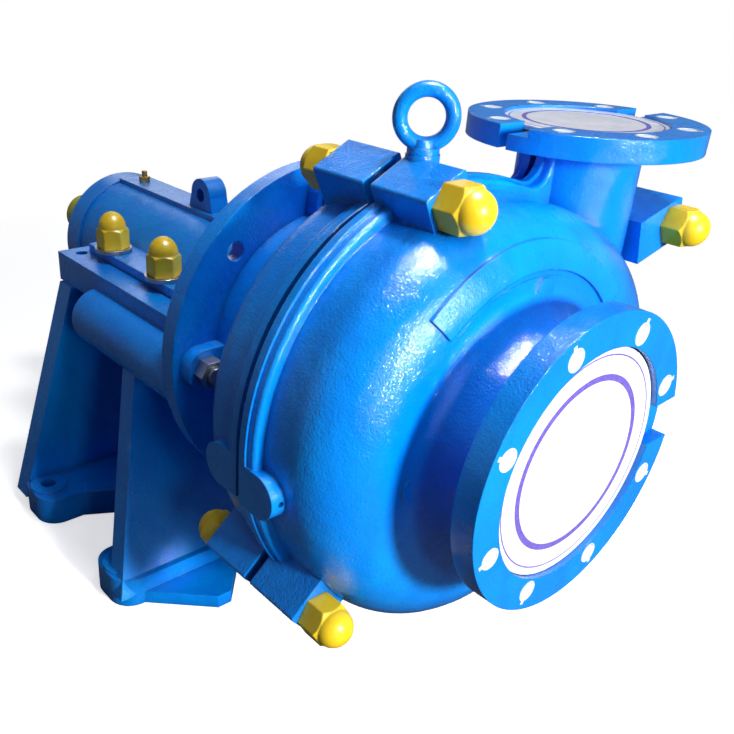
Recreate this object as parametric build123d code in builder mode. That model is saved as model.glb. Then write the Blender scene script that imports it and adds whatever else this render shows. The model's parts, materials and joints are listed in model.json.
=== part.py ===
import os
from math import cos, radians, sin, sqrt

from build123d import *

os.makedirs("parts", exist_ok=True)

# The origin is the centre of the four foot holes on the underside of the base.
# +X runs along the shaft towards the suction flange, +Z is up, the discharge is at +Y.
# Heights called "above the shaft" are measured from the shaft centreline.

# Clearances between pieces
FIT = 0.05          # radial play of a turned seat
RUNNING = 0.3       # play between pieces that move past each other
LOOSE = 0.5         # radial play of a cover in its recess

# Base casting
SHAFT_HEIGHT = 335.0
FOOT_HOLES_LONG = 223.0
FOOT_HOLES_WIDE = 482.0
FOOT_HOLE_RADIUS = 11.0
FOOT_BOSS_RADIUS = 26.0
FOOT_BOSS_RISE = 4.0
FOOT_HALF_WIDTH = 268.0
FOOT_HEIGHT = 40.0
TOE_THICK = 18.0
TOE_FLAT = 20.0
FOOT_ROUND = 30.0
FRONT_FOOT_BACK = 72.0
FRONT_FOOT_END = 154.0
FRONT_FOOT_TOE = 218.0
TOE_HALF_WIDTH = 165.0
FOOT_INNER_EDGE = 60.0
REAR_FOOT_BACK = -150.0
REAR_FOOT_END = -66.0
REAR_FOOT_TOE = -42.0
REAR_WEB_BACK = -147.0
REAR_WEB_THICK = 14.0
WEB_TOP_HALF = 170.0
WEB_EDGE_THICK = 12.0
REAR_EDGE_DEPTH = 34.0
FRONT_LEG_TOP_X = 45.0
FRONT_LEG_BOTTOM_X = 154.0
FRONT_LEG_THICK = 14.0
FRONT_EDGE_DEPTH = 30.0
ARCH_HEIGHT = 96.0
ARCH_ROUND = 30.0
KEEL_THICK = 14.0
KEEL_BOTTOM = 120.0
TROUGH_WALL = 14.0
TROUGH_GAP = 10.0
RAIL_REAR = -176.0
RAIL_TOP = 30.0
RAIL_HEIGHT = 40.0
RAIL_OUTER = 165.0
RAIL_HOLE_RADIUS = 8.0
RAIL_HOLE_INSET = 24.0
SIDE_BOSS_RADIUS = 38.0
SIDE_BOSS_DROP = 28.0
SIDE_BOSS_REAR = -65.0
RING_BACK = 167.0
RING_THICK = 22.0
RING_RADIUS = 205.0
RING_BORE = 128.0
RING_HOLE_CIRCLE = 172.0
RING_HOLE_RADIUS = 11.0
RING_STUD_RADIUS = 10.0
RING_STUD_PROUD = 5.0
RING_NUT_ACROSS = 30.0
RING_NUT_HEIGHT = 16.0
YOKE_WALL = 14.0
YOKE_LENGTH = 100.0

# Casing
SPLIT_X = 360.0
SPLIT_GAP = 11.0
SPIRAL_RADIUS = 235.0
SPIRAL_STEP = 20.0
SPIRAL_SHIFT = -7.0
DOME_INSET = 14.0
DOME_FRONT = 488.0
DOME_BACK = 282.0
DOME_FRONT_ROUND = 66.0
DOME_BACK_ROUND = 28.0
CASING_WALL = 12.0
LEAST_ROUND = 2.0
LINER_WALL = 14.0
RIM_THICK = 20.0
RIM_BAND = 9.0
RIM_STEP = 3.0
RIM_ROUND = 4.5
FRAME_RIM_INSET = 5.0
HUB_RADIUS = 150.0
HUB_WALL = 20.0
HUB_EAR_RADIUS = 24.0
HUB_EAR_THICK = 18.0
HUB_EAR_COUNT = 4
SUCTION_FACE = 575.0
SUCTION_FLANGE_RADIUS = 152.5
SUCTION_FLANGE_THICK = 25.0
SUCTION_HOLE_CIRCLE = 132.0
SUCTION_RECESS_RADIUS = 118.5
SUCTION_RECESS_DEPTH = 15.0
SUCTION_NECK_RADIUS = 112.0
SUCTION_NECK_ROUND = 46.0
SUCTION_NOTCH_WIDTH = 45.0
SUCTION_NOTCH_ANGLE = 3.0
THROAT_BORE = 76.0
THROAT_WALL = 13.0
BUSH_RADIUS = 148.0
IMPELLER_GAP = 2.5
BUSH_PROUD = 1.0
BUSH_CHAMFER = 4.0
DISCHARGE_X = 370.0
DISCHARGE_Y = 216.0
DISCHARGE_FACE = 266.0
DISCHARGE_FLANGE_RADIUS = 127.5
DISCHARGE_FLANGE_THICK = 23.5
DISCHARGE_HOLE_CIRCLE = 105.0
DISCHARGE_RECESS_RADIUS = 88.5
DISCHARGE_RECESS_DEPTH = 12.0
DISCHARGE_BORE = 49.0
PRY_WIDTH = 24.0
PRY_DEPTH = 8.0
NECK_LINER_WALL = 9.0
NECK_WALL = 9.0
NECK_RIM_HALF = 72.0
NECK_ROUND = 24.0
FLANGE_HOLE_COUNT = 8
FLANGE_HOLE_RADIUS = 9.0
JOINT_RING_THICK = 4.0
COVER_THICK = 5.0
COVER_EDGE = 1.0

# Casing bolts: place across the shaft, then the way the lug points
LUGS = [
    (-68.0, 222.0, 117.0),
    (-195.0, -172.0, 222.0),
    (214.0, -190.0, 318.0),
    (334.0, 148.0, 14.0),
]
LUG_WIDTH = 52.0
LUG_ROUND = 3.0
LUG_TIP = 20.0
LUG_ROOT = 64.0
LUG_LENGTH = 69.5
CASING_STUD_RADIUS = 12.0
CASING_HOLE_PLAY = 1.0
CASING_NUT_ACROSS = 36.0
CASING_NUT_HEIGHT = 19.0
CAP_ACROSS = 42.0
CAP_LENGTH = 46.0
CAP_HEX_LENGTH = 27.0
CAP_ROOM = 2.0
CAP_NOSE_SHARE = 0.97

# Marks cast on the casing
EAR_HEIGHT = 46.0
EAR_LENGTH = 52.0
EAR_THICK = 22.0
EAR_DROP = 38.0
EAR_HOLE_RADIUS = 3.0
EAR_HOLE_DEPTH = 10.0
PAD_RISE = 3.0
PAD_INNER = 164.0
PAD_OUTER = 190.0
PAD_FROM = 38.0
PAD_SWEEP = 94.0
DOT_RADIUS = 13.0
DOTS = [(15.0, 143.0), (-137.0, -18.0)]

# Eye bolt
EYE_X = 376.0
EYE_Y = -46.0
EYE_CENTRE = 285.0
EYE_RING_RADIUS = 24.0
EYE_BAR_RADIUS = 7.0
EYE_COLLAR_RADIUS = 15.0
EYE_COLLAR_THICK = 6.0
EYE_NECK_RADIUS = 10.5
EYE_NECK_TAPER = 12.0
EYE_BOSS_TOP = 253.0
EYE_SHANK_RADIUS = 8.0
EYE_SHANK_LENGTH = 26.0
EYE_TURN = 45.0
EYE_BOSS_RADIUS = 16.0

# Bearing cartridge
HOUSING_RADIUS = 95.0
HOUSING_BACK = -255.0
HOUSING_FRONT = 85.0
HOUSING_CAVITY = 80.0
LIP_THICK = 12.0
LIP_OUTER = 130.0
LIP_BACK = -150.0
LIP_FRONT = 72.0
STRIP_HALF_WIDTH = 22.0
STRIP_RISE = 4.0
LUG_PLATE_X = -45.0
LUG_PLATE_LENGTH = 66.0
LUG_PLATE_THICK = 28.0
LUG_PLATE_TOP = 140.0
LUG_PLATE_HOLE = 9.0
END_COVER_RADIUS = 98.0
DRIVE_COVER_THICK = 40.0
PUMP_COVER_THICK = 20.0
COVER_SPIGOT = 6.0
COVER_SCREW_CIRCLE = 84.0
COVER_SCREW_RADIUS = 5.0
COVER_SCREW_COUNT = 6
COVER_SCREW_HEAD = 9.0
COVER_SCREW_HEAD_HEIGHT = 7.0
COVER_SCREW_LENGTH = 18.0
CLAMP_PLACES = [-105.0, 27.0]
CLAMP_Y = 116.0
CLAMP_STUD_RADIUS = 10.0
CLAMP_WASHER_RADIUS = 25.0
CLAMP_WASHER_THICK = 5.0
CLAMP_NUT_ACROSS = 30.0
CLAMP_NUT_HEIGHT = 16.0
CLAMP_CAP_ACROSS = 38.0
CLAMP_CAP_LENGTH = 48.0
CLAMP_CAP_HEX_LENGTH = 27.0
CLAMP_SLOT_TRAVEL = 10.0
NIPPLE_RADIUS = 4.0
NIPPLE_HEIGHT = 16.0
NIPPLE_PLACES = [-218.0, 50.0]
COVER_ROUND = 4.0
ADJUST_LUG_BACK = -214.0
ADJUST_LUG_THICK = 16.0
ADJUST_LUG_HALF_WIDTH = 22.0
ADJUST_DROP = 136.0
ADJUST_SCREW_RADIUS = 8.0
ADJUST_SCREW_REAR = -240.0
ADJUST_NUT_ACROSS = 26.0
ADJUST_NUT_HEIGHT = 10.0
ADJUST_BOSS_RADIUS = 18.0

# Bearings
BEARING_OUTER = 70.0
BEARING_WIDTH = 40.0
OUTER_RACE = 61.0
INNER_RACE = 48.0
ROLLER_COUNT = 14
ROLLER_LENGTH = 28.0
CAGE_THICK = 3.0
DRIVE_BEARING_BACK = -249.0
PUMP_BEARING_BACK = 39.0

# Rotor
SHAFT_END = -435.0
DRIVE_RADIUS = 32.5
DRIVE_LENGTH = 137.0
LABYRINTH_SEAT = 38.0
BEARING_SEAT = 40.0
SHAFT_WAIST = 47.0
SLEEVE_SEAT = 37.0
THREAD_RADIUS = 30.0
THREAD_LENGTH = 44.0
SHAFT_CHAMFER = 3.0
KEY_WIDTH = 18.0
KEY_HEIGHT = 11.0
KEY_DEPTH = 7.0
KEY_LENGTH = 110.0
KEY_INSET = 12.0
KEY_CHAMFER = 0.8
LABYRINTH_RADIUS = 50.0
LABYRINTH_GROOVE = 3.0
LABYRINTH_GROOVES = 3
SPACER_LENGTH = 12.0
SPACER_CLEAR = 3.0
SLEEVE_RADIUS = 46.0
SLEEVE_CHAMFER = 1.0
IMPELLER_RADIUS = 165.0
EXPELLER_MARGIN = 10.0
IMPELLER_BACK = 314.0
SHROUD_THICK = 10.0
EXPELLER_HEIGHT = 6.0
EXPELLER_THICK = 8.0
EXPELLER_COUNT = 8
EXPELLER_START = 10.0
VANE_COUNT = 5
VANE_THICK = 14.0
VANE_INNER = 80.0
VANE_SWEEP = 75.0
HUB_BOSS_RADIUS = 56.0
NOSE_LENGTH = 30.0
NOSE_TIP_SHARE = 0.8
BLADE_BEND = 0.6
VANE_MARGIN = 2.0

# Stuffing box and gland
BOX_BACK = 222.0
BOX_RADIUS = 74.0
BOX_BORE = 60.0
BOX_NECK_BORE = 48.5
BOX_NECK_THICK = 18.0
BOX_FLANGE_RADIUS = 112.0
BOX_FLANGE_THICK = 14.0
BOX_SCREW_CIRCLE = 100.0
BOX_SCREW_RADIUS = 6.0
BOX_SCREW_HEAD = 10.0
BOX_SCREW_HEAD_HEIGHT = 8.0
BOX_SCREW_COUNT = 4
PACKING_WIDTH = 12.0
PACKING_BEHIND = 2
PACKING_AHEAD = 2
LANTERN_WIDTH = 14.0
LANTERN_GROOVE = 4.0
LANTERN_GROOVE_WIDTH = 7.0
GLAND_BACK = 204.0
GLAND_FLANGE_THICK = 12.0
GLAND_STUD_Y = 88.0
GLAND_STUD_RADIUS = 6.0
GLAND_NUT_ACROSS = 19.0
GLAND_NUT_HEIGHT = 10.0
GLAND_STUD_REAR = 190.0
GLAND_EAR_RADIUS = 16.0

# Places worked out from the sizes above
COVER_SPLIT = SPLIT_X + SPLIT_GAP / 2
FRAME_SPLIT = SPLIT_X - SPLIT_GAP / 2
RING_FRONT = RING_BACK + RING_THICK
CAVITY_BACK = DOME_BACK + CASING_WALL
CAVITY_FRONT = DOME_FRONT - CASING_WALL
LINER_DEPTH = CASING_WALL + RUNNING
WET_DEPTH = LINER_DEPTH + LINER_WALL
NECK_LINER_RADIUS = DISCHARGE_BORE + NECK_LINER_WALL
NECK_BORE = NECK_LINER_RADIUS + RUNNING
NECK_RADIUS = NECK_BORE + NECK_WALL
NECK_FOOT = SPIRAL_SHIFT + SPIRAL_STEP
DISCHARGE_UNDER = DISCHARGE_FACE - DISCHARGE_FLANGE_THICK
DISCHARGE_SEAT = DISCHARGE_FACE - DISCHARGE_RECESS_DEPTH
SUCTION_SEAT = SUCTION_FACE - SUCTION_RECESS_DEPTH
THROAT_OUTER = THROAT_BORE + THROAT_WALL
SUCTION_BORE = THROAT_OUTER + RUNNING
TROUGH_RADIUS = HOUSING_RADIUS + TROUGH_GAP
YOKE_BACK = RING_BACK - YOKE_LENGTH
ROLLER_PITCH = (INNER_RACE + OUTER_RACE) / 2
ROLLER_RADIUS = (OUTER_RACE - INNER_RACE) / 2 - RUNNING
DRIVE_COVER_BACK = HOUSING_BACK - DRIVE_COVER_THICK
PUMP_COVER_FRONT = HOUSING_FRONT + PUMP_COVER_THICK
IMPELLER_PLATE = IMPELLER_BACK + EXPELLER_HEIGHT
VANE_BACK = IMPELLER_PLATE + SHROUD_THICK
IMPELLER_FRONT = DOME_FRONT - WET_DEPTH - IMPELLER_GAP - BUSH_PROUD
FRONT_PLATE = IMPELLER_FRONT - EXPELLER_HEIGHT
VANE_FRONT = FRONT_PLATE - SHROUD_THICK
BUSH_BACK = IMPELLER_FRONT + IMPELLER_GAP
SPACER_BACK = PUMP_COVER_FRONT + SPACER_CLEAR
SLEEVE_BACK = SPACER_BACK + SPACER_LENGTH
LIP_TOP = RAIL_TOP + RUNNING + LIP_THICK
WET_BACK = CAVITY_BACK + LINER_WALL
BOX_FLOOR = WET_BACK - BOX_NECK_THICK
PACKING_END = BOX_FLOOR - (PACKING_BEHIND + PACKING_AHEAD) * PACKING_WIDTH - LANTERN_WIDTH

SHAFT_AXIS = Axis((0, 0, SHAFT_HEIGHT), (1, 0, 0))
ALONG = Plane(origin=(0, 0, SHAFT_HEIGHT), x_dir=(1, 0, 0), z_dir=(0, -1, 0))


def across(x, turn=0.0):
    """Plane square to the shaft at x; local x is +Y and local y is up, turned about the shaft."""
    side = (0, cos(radians(turn)), sin(radians(turn)))
    return Plane(origin=(x, 0, SHAFT_HEIGHT), x_dir=side, z_dir=(1, 0, 0))


def level(above_shaft):
    """Horizontal plane at a height above the shaft."""
    return Plane.XY.offset(SHAFT_HEIGHT + above_shaft)


def spiral(inset):
    """Closed spiral outline of the casing, drawn inset from the rim."""
    first = SPIRAL_RADIUS - inset
    second = first + SPIRAL_STEP
    third = second + SPIRAL_STEP
    near = SPIRAL_SHIFT
    far = SPIRAL_SHIFT + SPIRAL_STEP
    with BuildSketch() as outline:
        with BuildLine():
            CenterArc((near, near), first, 90, 90)
            CenterArc((far, near), second, 180, 90)
            CenterArc((far, far), third, 270, 90)
            EllipticalCenterArc(
                (near, far), third + SPIRAL_STEP, first - SPIRAL_STEP, start_angle=0, arc_size=90
            )
        make_face()
    return outline.sketch


def rim_outline(inset):
    """The spiral with the flat sides of the discharge neck, for the mating flanges."""
    half = NECK_RIM_HALF - inset
    with BuildSketch() as outline:
        add(spiral(inset))
        with Locations((DISCHARGE_Y, (NECK_FOOT + DISCHARGE_UNDER) / 2)):
            Rectangle(2 * half, DISCHARGE_UNDER - NECK_FOOT)
        crook = outline.vertices().filter_by(lambda v: abs(v.X - DISCHARGE_Y + half) < 1)
        fillet(crook.sort_by(Axis.Y)[0], NECK_ROUND)
    return outline.sketch


def rim(split_x, inset, side):
    """Mating flange of one casing half: a flat band at the split, then a stepped-in round bead."""
    with BuildPart() as flange:
        with BuildSketch(across(split_x + side * RIM_BAND)):
            add(rim_outline(inset + RIM_STEP))
        extrude(amount=side * (RIM_THICK - RIM_BAND))
        outer_face = flange.faces().sort_by(Axis.X)[-1 if side > 0 else 0]
        fillet(outer_face.edges(), RIM_ROUND)
        with BuildSketch(across(split_x)):
            add(rim_outline(inset))
        extrude(amount=side * RIM_BAND)
    return flange.part


def chamber(depth):
    """Rounded spiral body, a given depth under the outer skin of the domed casing."""
    back = DOME_BACK + depth
    front = DOME_FRONT - depth
    with BuildPart() as body:
        with BuildSketch(across(back)):
            add(spiral(DOME_INSET + depth))
        extrude(amount=front - back)
        fillet(body.faces().sort_by(Axis.X)[-1].edges(), DOME_FRONT_ROUND - depth)
        fillet(body.faces().sort_by(Axis.X)[0].edges(), max(DOME_BACK_ROUND - depth, LEAST_ROUND))
    return body.part


def nut(across_flats, height, bore):
    """A hexagon nut standing on the ground plane."""
    with BuildPart() as body:
        with BuildSketch():
            RegularPolygon(across_flats / 2, 6, major_radius=False)
        extrude(amount=height)
        with BuildSketch():
            Circle(bore)
        extrude(amount=height, mode=Mode.SUBTRACT)
    return body.part


def nut_cap(across_flats, length, hex_length, nut_across, nut_height, stud_radius, stud_proud):
    """A cap that fits over a nut and its stud end: hexagon below, round nose above."""
    nose = across_flats / 2 * CAP_NOSE_SHARE
    skirt = across_flats
    shoulder = hex_length - skirt + nose
    with BuildPart() as body:
        with BuildSketch():
            RegularPolygon(across_flats / 2, 6, major_radius=False)
        extrude(amount=hex_length)
        with BuildSketch(Plane.XZ):
            with BuildLine():
                Polyline((0, length), (0, 0), (skirt, 0), (skirt, shoulder), (nose, hex_length))
                EllipticalCenterArc((0, hex_length), nose, length - hex_length, 0, arc_size=90)
            make_face()
        revolve(axis=Axis.Z, mode=Mode.INTERSECT)
        with BuildSketch(Plane.XZ):
            with BuildLine():
                Polyline((0, length), (0, hex_length / 2), (nose, hex_length / 2), (nose, hex_length))
                EllipticalCenterArc((0, hex_length), nose, length - hex_length, 0, arc_size=90)
            make_face()
        revolve(axis=Axis.Z)
        with BuildSketch():
            RegularPolygon(nut_across / 2 + RUNNING, 6, major_radius=False)
        extrude(amount=nut_height + RUNNING, mode=Mode.SUBTRACT)
        with BuildSketch():
            Circle(stud_radius + RUNNING)
        extrude(amount=stud_proud + CAP_ROOM, mode=Mode.SUBTRACT)
    return body.part


def lug_outline(tip, root, width):
    """Lug seen along the bolt, pointing along local x, with the bolt at the centre."""
    with BuildSketch() as outline:
        with Locations(((tip - root) / 2, 0)):
            Rectangle(tip + root, width)
        fillet(outline.vertices().group_by(Axis.X)[-1], LUG_ROUND)
    return outline.sketch


def cut_spiral_hollow():
    """The room inside the casing for the liners, with the discharge passage."""
    with BuildPart() as hollow:
        add(chamber(CASING_WALL))
        with BuildSketch(level(NECK_FOOT)):
            with Locations((DISCHARGE_X, DISCHARGE_Y)):
                Circle(NECK_BORE)
        extrude(amount=DISCHARGE_FACE - NECK_FOOT)
        with BuildSketch(level(DISCHARGE_SEAT)):
            with Locations((DISCHARGE_X, DISCHARGE_Y)):
                Circle(DISCHARGE_RECESS_RADIUS)
        extrude(amount=DISCHARGE_RECESS_DEPTH + 1)
    return hollow.part


def casing_half(split_x, rim_inset, side):
    """One half of the casing; side is +1 towards the suction and -1 towards the frame."""
    with BuildPart() as half:
        add(chamber(0))
        with BuildSketch(level(NECK_FOOT)):
            with Locations((DISCHARGE_X, DISCHARGE_Y)):
                Circle(NECK_RADIUS)
        extrude(amount=DISCHARGE_UNDER - NECK_FOOT)
        with BuildSketch(level(DISCHARGE_UNDER)):
            with Locations((DISCHARGE_X, DISCHARGE_Y)):
                Circle(DISCHARGE_FLANGE_RADIUS)
        extrude(amount=DISCHARGE_FLANGE_THICK)
        split(bisect_by=across(split_x), keep=Keep.TOP if side > 0 else Keep.BOTTOM)
        add(rim(split_x, rim_inset, side))
        for bolt_y, bolt_z, turn in LUGS:
            with BuildSketch(across(split_x)):
                with Locations(Location((bolt_y, bolt_z, 0), (0, 0, 1), turn)):
                    add(lug_outline(LUG_TIP, LUG_ROOT, LUG_WIDTH))
            extrude(amount=side * LUG_LENGTH)
        with BuildSketch(ALONG.offset(SPIRAL_RADIUS - SPIRAL_SHIFT - rim_inset)):
            with Locations((split_x + side * (EAR_LENGTH - EAR_HEIGHT / 2) / 2, -EAR_DROP)):
                Rectangle(EAR_LENGTH - EAR_HEIGHT / 2, EAR_HEIGHT)
            with Locations((split_x + side * (EAR_LENGTH - EAR_HEIGHT / 2), -EAR_DROP)):
                Circle(EAR_HEIGHT / 2)
        extrude(amount=-EAR_THICK)
        add(cut_spiral_hollow(), mode=Mode.SUBTRACT)
        with BuildSketch(level(DISCHARGE_UNDER)):
            with Locations((DISCHARGE_X, DISCHARGE_Y)):
                with PolarLocations(DISCHARGE_HOLE_CIRCLE, FLANGE_HOLE_COUNT, 180 / FLANGE_HOLE_COUNT):
                    Circle(FLANGE_HOLE_RADIUS)
        extrude(amount=DISCHARGE_FLANGE_THICK, mode=Mode.SUBTRACT)
        with BuildSketch(across(split_x)):
            with Locations(*[(bolt_y, bolt_z) for bolt_y, bolt_z, turn in LUGS]):
                Circle(CASING_STUD_RADIUS + CASING_HOLE_PLAY)
        extrude(amount=side * LUG_LENGTH, mode=Mode.SUBTRACT)
        # Small hole in the end of the ear
        with BuildSketch(across(split_x + side * EAR_LENGTH)):
            with Locations((SPIRAL_SHIFT - SPIRAL_RADIUS + rim_inset + EAR_THICK / 2, -EAR_DROP)):
                Circle(EAR_HOLE_RADIUS)
        extrude(amount=-side * EAR_HOLE_DEPTH, mode=Mode.SUBTRACT)
    return half.part


def curved_blade(inner, outer, sweep, thickness):
    """One backward-curved blade about the shaft centre, from an inner to an outer radius."""
    middle = (inner + outer) / 2
    lean = radians(sweep * BLADE_BEND)
    with BuildSketch() as blade:
        with BuildLine():
            ThreePointArc(
                (inner, 0),
                (middle * cos(lean), middle * sin(lean)),
                (outer * cos(radians(sweep)), outer * sin(radians(sweep))),
            )
        trace(line_width=thickness)
    return blade.sketch


def leg_outline(top, inset):
    """Front view of a leg, from a height above the shaft down into the feet."""
    bottom = TOE_THICK - SHAFT_HEIGHT - 1
    with BuildSketch() as outline:
        with BuildLine():
            Polyline(
                (inset - WEB_TOP_HALF, top),
                (WEB_TOP_HALF - inset, top),
                (FOOT_HALF_WIDTH - inset, bottom),
                (inset - FOOT_HALF_WIDTH, bottom),
                close=True,
            )
        make_face()
        with Locations((0, bottom + ARCH_HEIGHT / 2)):
            Rectangle(2 * FOOT_INNER_EDGE, ARCH_HEIGHT, mode=Mode.SUBTRACT)
        arch_corners = outline.vertices().filter_by(lambda v: abs(v.X) < FOOT_INNER_EDGE + 1)
        fillet(arch_corners.group_by(Axis.Y)[-1], ARCH_ROUND)
    return outline.sketch


def slanted_leg(thickness, inset):
    """The front leg: its outline cut out of a slab that leans forward going down."""
    bottom = TOE_THICK - SHAFT_HEIGHT - 1
    top = -SIDE_BOSS_DROP
    with BuildPart() as leg:
        with BuildSketch(ALONG):
            with BuildLine():
                Polyline(
                    (FRONT_LEG_TOP_X, top),
                    (FRONT_LEG_TOP_X - thickness, top),
                    (FRONT_LEG_BOTTOM_X - thickness, bottom),
                    (FRONT_LEG_BOTTOM_X, bottom),
                    close=True,
                )
            make_face()
        extrude(amount=FOOT_HALF_WIDTH, both=True)
        with BuildSketch(across(REAR_WEB_BACK)):
            add(leg_outline(top, 0))
            if inset:
                add(leg_outline(top + inset, inset), mode=Mode.SUBTRACT)
        extrude(amount=FRONT_FOOT_TOE - REAR_WEB_BACK, mode=Mode.INTERSECT)
    return leg.part


with BuildPart() as base:
    # Foot blocks with rounded outer ends, and the thin toes in front
    for back_x, end_x, toe_x, toe_thick in (
        (FRONT_FOOT_BACK, FRONT_FOOT_END, FRONT_FOOT_TOE, TOE_THICK),
        (REAR_FOOT_BACK, REAR_FOOT_END, REAR_FOOT_TOE, FOOT_HEIGHT),
    ):
        for side in (-1, 1):
            with BuildSketch() as foot_plan:
                with Locations(((back_x + end_x) / 2, side * (FOOT_HALF_WIDTH + FOOT_INNER_EDGE) / 2)):
                    Rectangle(end_x - back_x, FOOT_HALF_WIDTH - FOOT_INNER_EDGE)
                corners = foot_plan.vertices().filter_by(lambda v: abs(v.Y) > FOOT_HALF_WIDTH - 1)
                fillet(corners, FOOT_ROUND)
            extrude(amount=FOOT_HEIGHT)
            with BuildSketch():
                with BuildLine():
                    Polyline(
                        (end_x - FOOT_ROUND, side * FOOT_HALF_WIDTH),
                        (toe_x, side * TOE_HALF_WIDTH),
                        (toe_x, side * (TOE_HALF_WIDTH - TOE_FLAT)),
                        (end_x - FOOT_ROUND, side * FOOT_INNER_EDGE),
                        close=True,
                    )
                make_face()
            extrude(amount=toe_thick)
    # Upright rear web with its edge flange
    with BuildSketch(across(REAR_WEB_BACK)):
        add(leg_outline(RAIL_TOP - RAIL_HEIGHT, 0))
    extrude(amount=REAR_WEB_THICK)
    with BuildSketch(across(REAR_WEB_BACK + REAR_WEB_THICK - REAR_EDGE_DEPTH)):
        add(leg_outline(RAIL_TOP - RAIL_HEIGHT, 0))
        add(leg_outline(RAIL_TOP - RAIL_HEIGHT + WEB_EDGE_THICK, WEB_EDGE_THICK), mode=Mode.SUBTRACT)
    extrude(amount=REAR_EDGE_DEPTH)
    # Slanted front leg with its edge flange
    add(slanted_leg(FRONT_LEG_THICK, 0))
    add(slanted_leg(FRONT_EDGE_DEPTH, WEB_EDGE_THICK))
    # Keel plate between the legs
    with BuildSketch(ALONG):
        with BuildLine():
            Polyline(
                (REAR_WEB_BACK + REAR_WEB_THICK / 2, -TROUGH_RADIUS),
                (FRONT_LEG_TOP_X + TROUGH_RADIUS / 2 - FRONT_LEG_THICK, -TROUGH_RADIUS),
                (FRONT_LEG_BOTTOM_X - FRONT_LEG_THICK, KEEL_BOTTOM - SHAFT_HEIGHT),
                (REAR_WEB_BACK + REAR_WEB_THICK / 2, KEEL_BOTTOM - SHAFT_HEIGHT),
                close=True,
            )
        make_face()
    extrude(amount=KEEL_THICK / 2, both=True)
    # Side rails of the cradle and the trough under the housing
    with BuildSketch(across(RAIL_REAR)):
        with Locations((0, RAIL_TOP - RAIL_HEIGHT / 2)):
            Rectangle(2 * RAIL_OUTER, RAIL_HEIGHT)
        Circle(TROUGH_RADIUS + TROUGH_WALL)
        with Locations((0, RAIL_TOP + TROUGH_RADIUS)):
            Rectangle(2 * RAIL_OUTER, 2 * TROUGH_RADIUS, mode=Mode.SUBTRACT)
    extrude(amount=RING_BACK - RAIL_REAR)
    # Yoke that carries the ring flange
    with BuildSketch(across(YOKE_BACK)):
        Circle(RING_BORE + YOKE_WALL)
        with Locations((0, RAIL_TOP + 2 * RING_BORE)):
            Rectangle(4 * RING_BORE, 4 * RING_BORE, mode=Mode.SUBTRACT)
    extrude(amount=YOKE_LENGTH)
    for side in (-1, 1):
        with BuildSketch(across(SIDE_BOSS_REAR)):
            with Locations((side * RAIL_OUTER, -SIDE_BOSS_DROP)):
                Circle(SIDE_BOSS_RADIUS)
        extrude(amount=RING_BACK - SIDE_BOSS_REAR)
    with BuildSketch(across(RING_BACK)):
        Circle(RING_RADIUS)
    extrude(amount=RING_THICK)
    # Hollows for the housing and for reaching the gland
    with BuildSketch(across(YOKE_BACK + YOKE_WALL)):
        Circle(RING_BORE)
    extrude(amount=RING_FRONT - YOKE_BACK, mode=Mode.SUBTRACT)
    with BuildSketch(across(RAIL_REAR)):
        Circle(TROUGH_RADIUS)
    extrude(amount=YOKE_BACK + YOKE_WALL - RAIL_REAR, mode=Mode.SUBTRACT)
    # Boss for the adjusting screw
    with BuildSketch(across(RAIL_REAR)):
        with Locations((0, -ADJUST_DROP)):
            Circle(ADJUST_BOSS_RADIUS)
    extrude(amount=REAR_WEB_BACK - RAIL_REAR + REAR_WEB_THICK)
    with BuildSketch(across(RAIL_REAR)):
        with Locations((0, -ADJUST_DROP)):
            Circle(ADJUST_SCREW_RADIUS + FIT)
    extrude(amount=REAR_WEB_BACK - RAIL_REAR + REAR_WEB_THICK, mode=Mode.SUBTRACT)
    # Foot bosses and all the bolt holes
    with BuildSketch(Plane.XY.offset(FOOT_HEIGHT)):
        with GridLocations(FOOT_HOLES_LONG, FOOT_HOLES_WIDE, 2, 2):
            Circle(FOOT_BOSS_RADIUS)
    extrude(amount=FOOT_BOSS_RISE)
    with BuildSketch():
        with GridLocations(FOOT_HOLES_LONG, FOOT_HOLES_WIDE, 2, 2):
            Circle(FOOT_HOLE_RADIUS)
    extrude(amount=FOOT_HEIGHT + FOOT_BOSS_RISE, mode=Mode.SUBTRACT)
    with BuildSketch(across(RING_BACK)):
        with PolarLocations(RING_HOLE_CIRCLE, HUB_EAR_COUNT, 180 / HUB_EAR_COUNT):
            Circle(RING_HOLE_RADIUS)
        with PolarLocations(RING_HOLE_CIRCLE, HUB_EAR_COUNT):
            Circle(RING_STUD_RADIUS + FIT)
    extrude(amount=RING_THICK, mode=Mode.SUBTRACT)
    with BuildSketch(level(RAIL_TOP - RAIL_HEIGHT)):
        for clamp_x in CLAMP_PLACES:
            with Locations((clamp_x, -CLAMP_Y), (clamp_x, CLAMP_Y)):
                Circle(CLAMP_STUD_RADIUS + FIT)
        corner = (RAIL_REAR + RAIL_HOLE_INSET, RAIL_OUTER - RAIL_HOLE_INSET)
        with Locations(corner, (corner[0], -corner[1])):
            Circle(RAIL_HOLE_RADIUS)
    extrude(amount=RAIL_HEIGHT, mode=Mode.SUBTRACT)

with BuildPart() as cover_plate_liner:
    add(chamber(LINER_DEPTH))
    with BuildSketch(level(NECK_FOOT)):
        with Locations((DISCHARGE_X, DISCHARGE_Y)):
            Circle(NECK_LINER_RADIUS)
    extrude(amount=DISCHARGE_SEAT - NECK_FOOT)
    split(bisect_by=across(SPLIT_X), keep=Keep.TOP)
    add(chamber(WET_DEPTH), mode=Mode.SUBTRACT)
    with BuildSketch(level(NECK_FOOT)):
        with Locations((DISCHARGE_X, DISCHARGE_Y)):
            Circle(DISCHARGE_BORE)
    extrude(amount=DISCHARGE_SEAT - NECK_FOOT, mode=Mode.SUBTRACT)
    with BuildSketch(across(CAVITY_FRONT)):
        Circle(BUSH_RADIUS + RUNNING)
    extrude(amount=-2 * LINER_WALL, mode=Mode.SUBTRACT)

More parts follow.
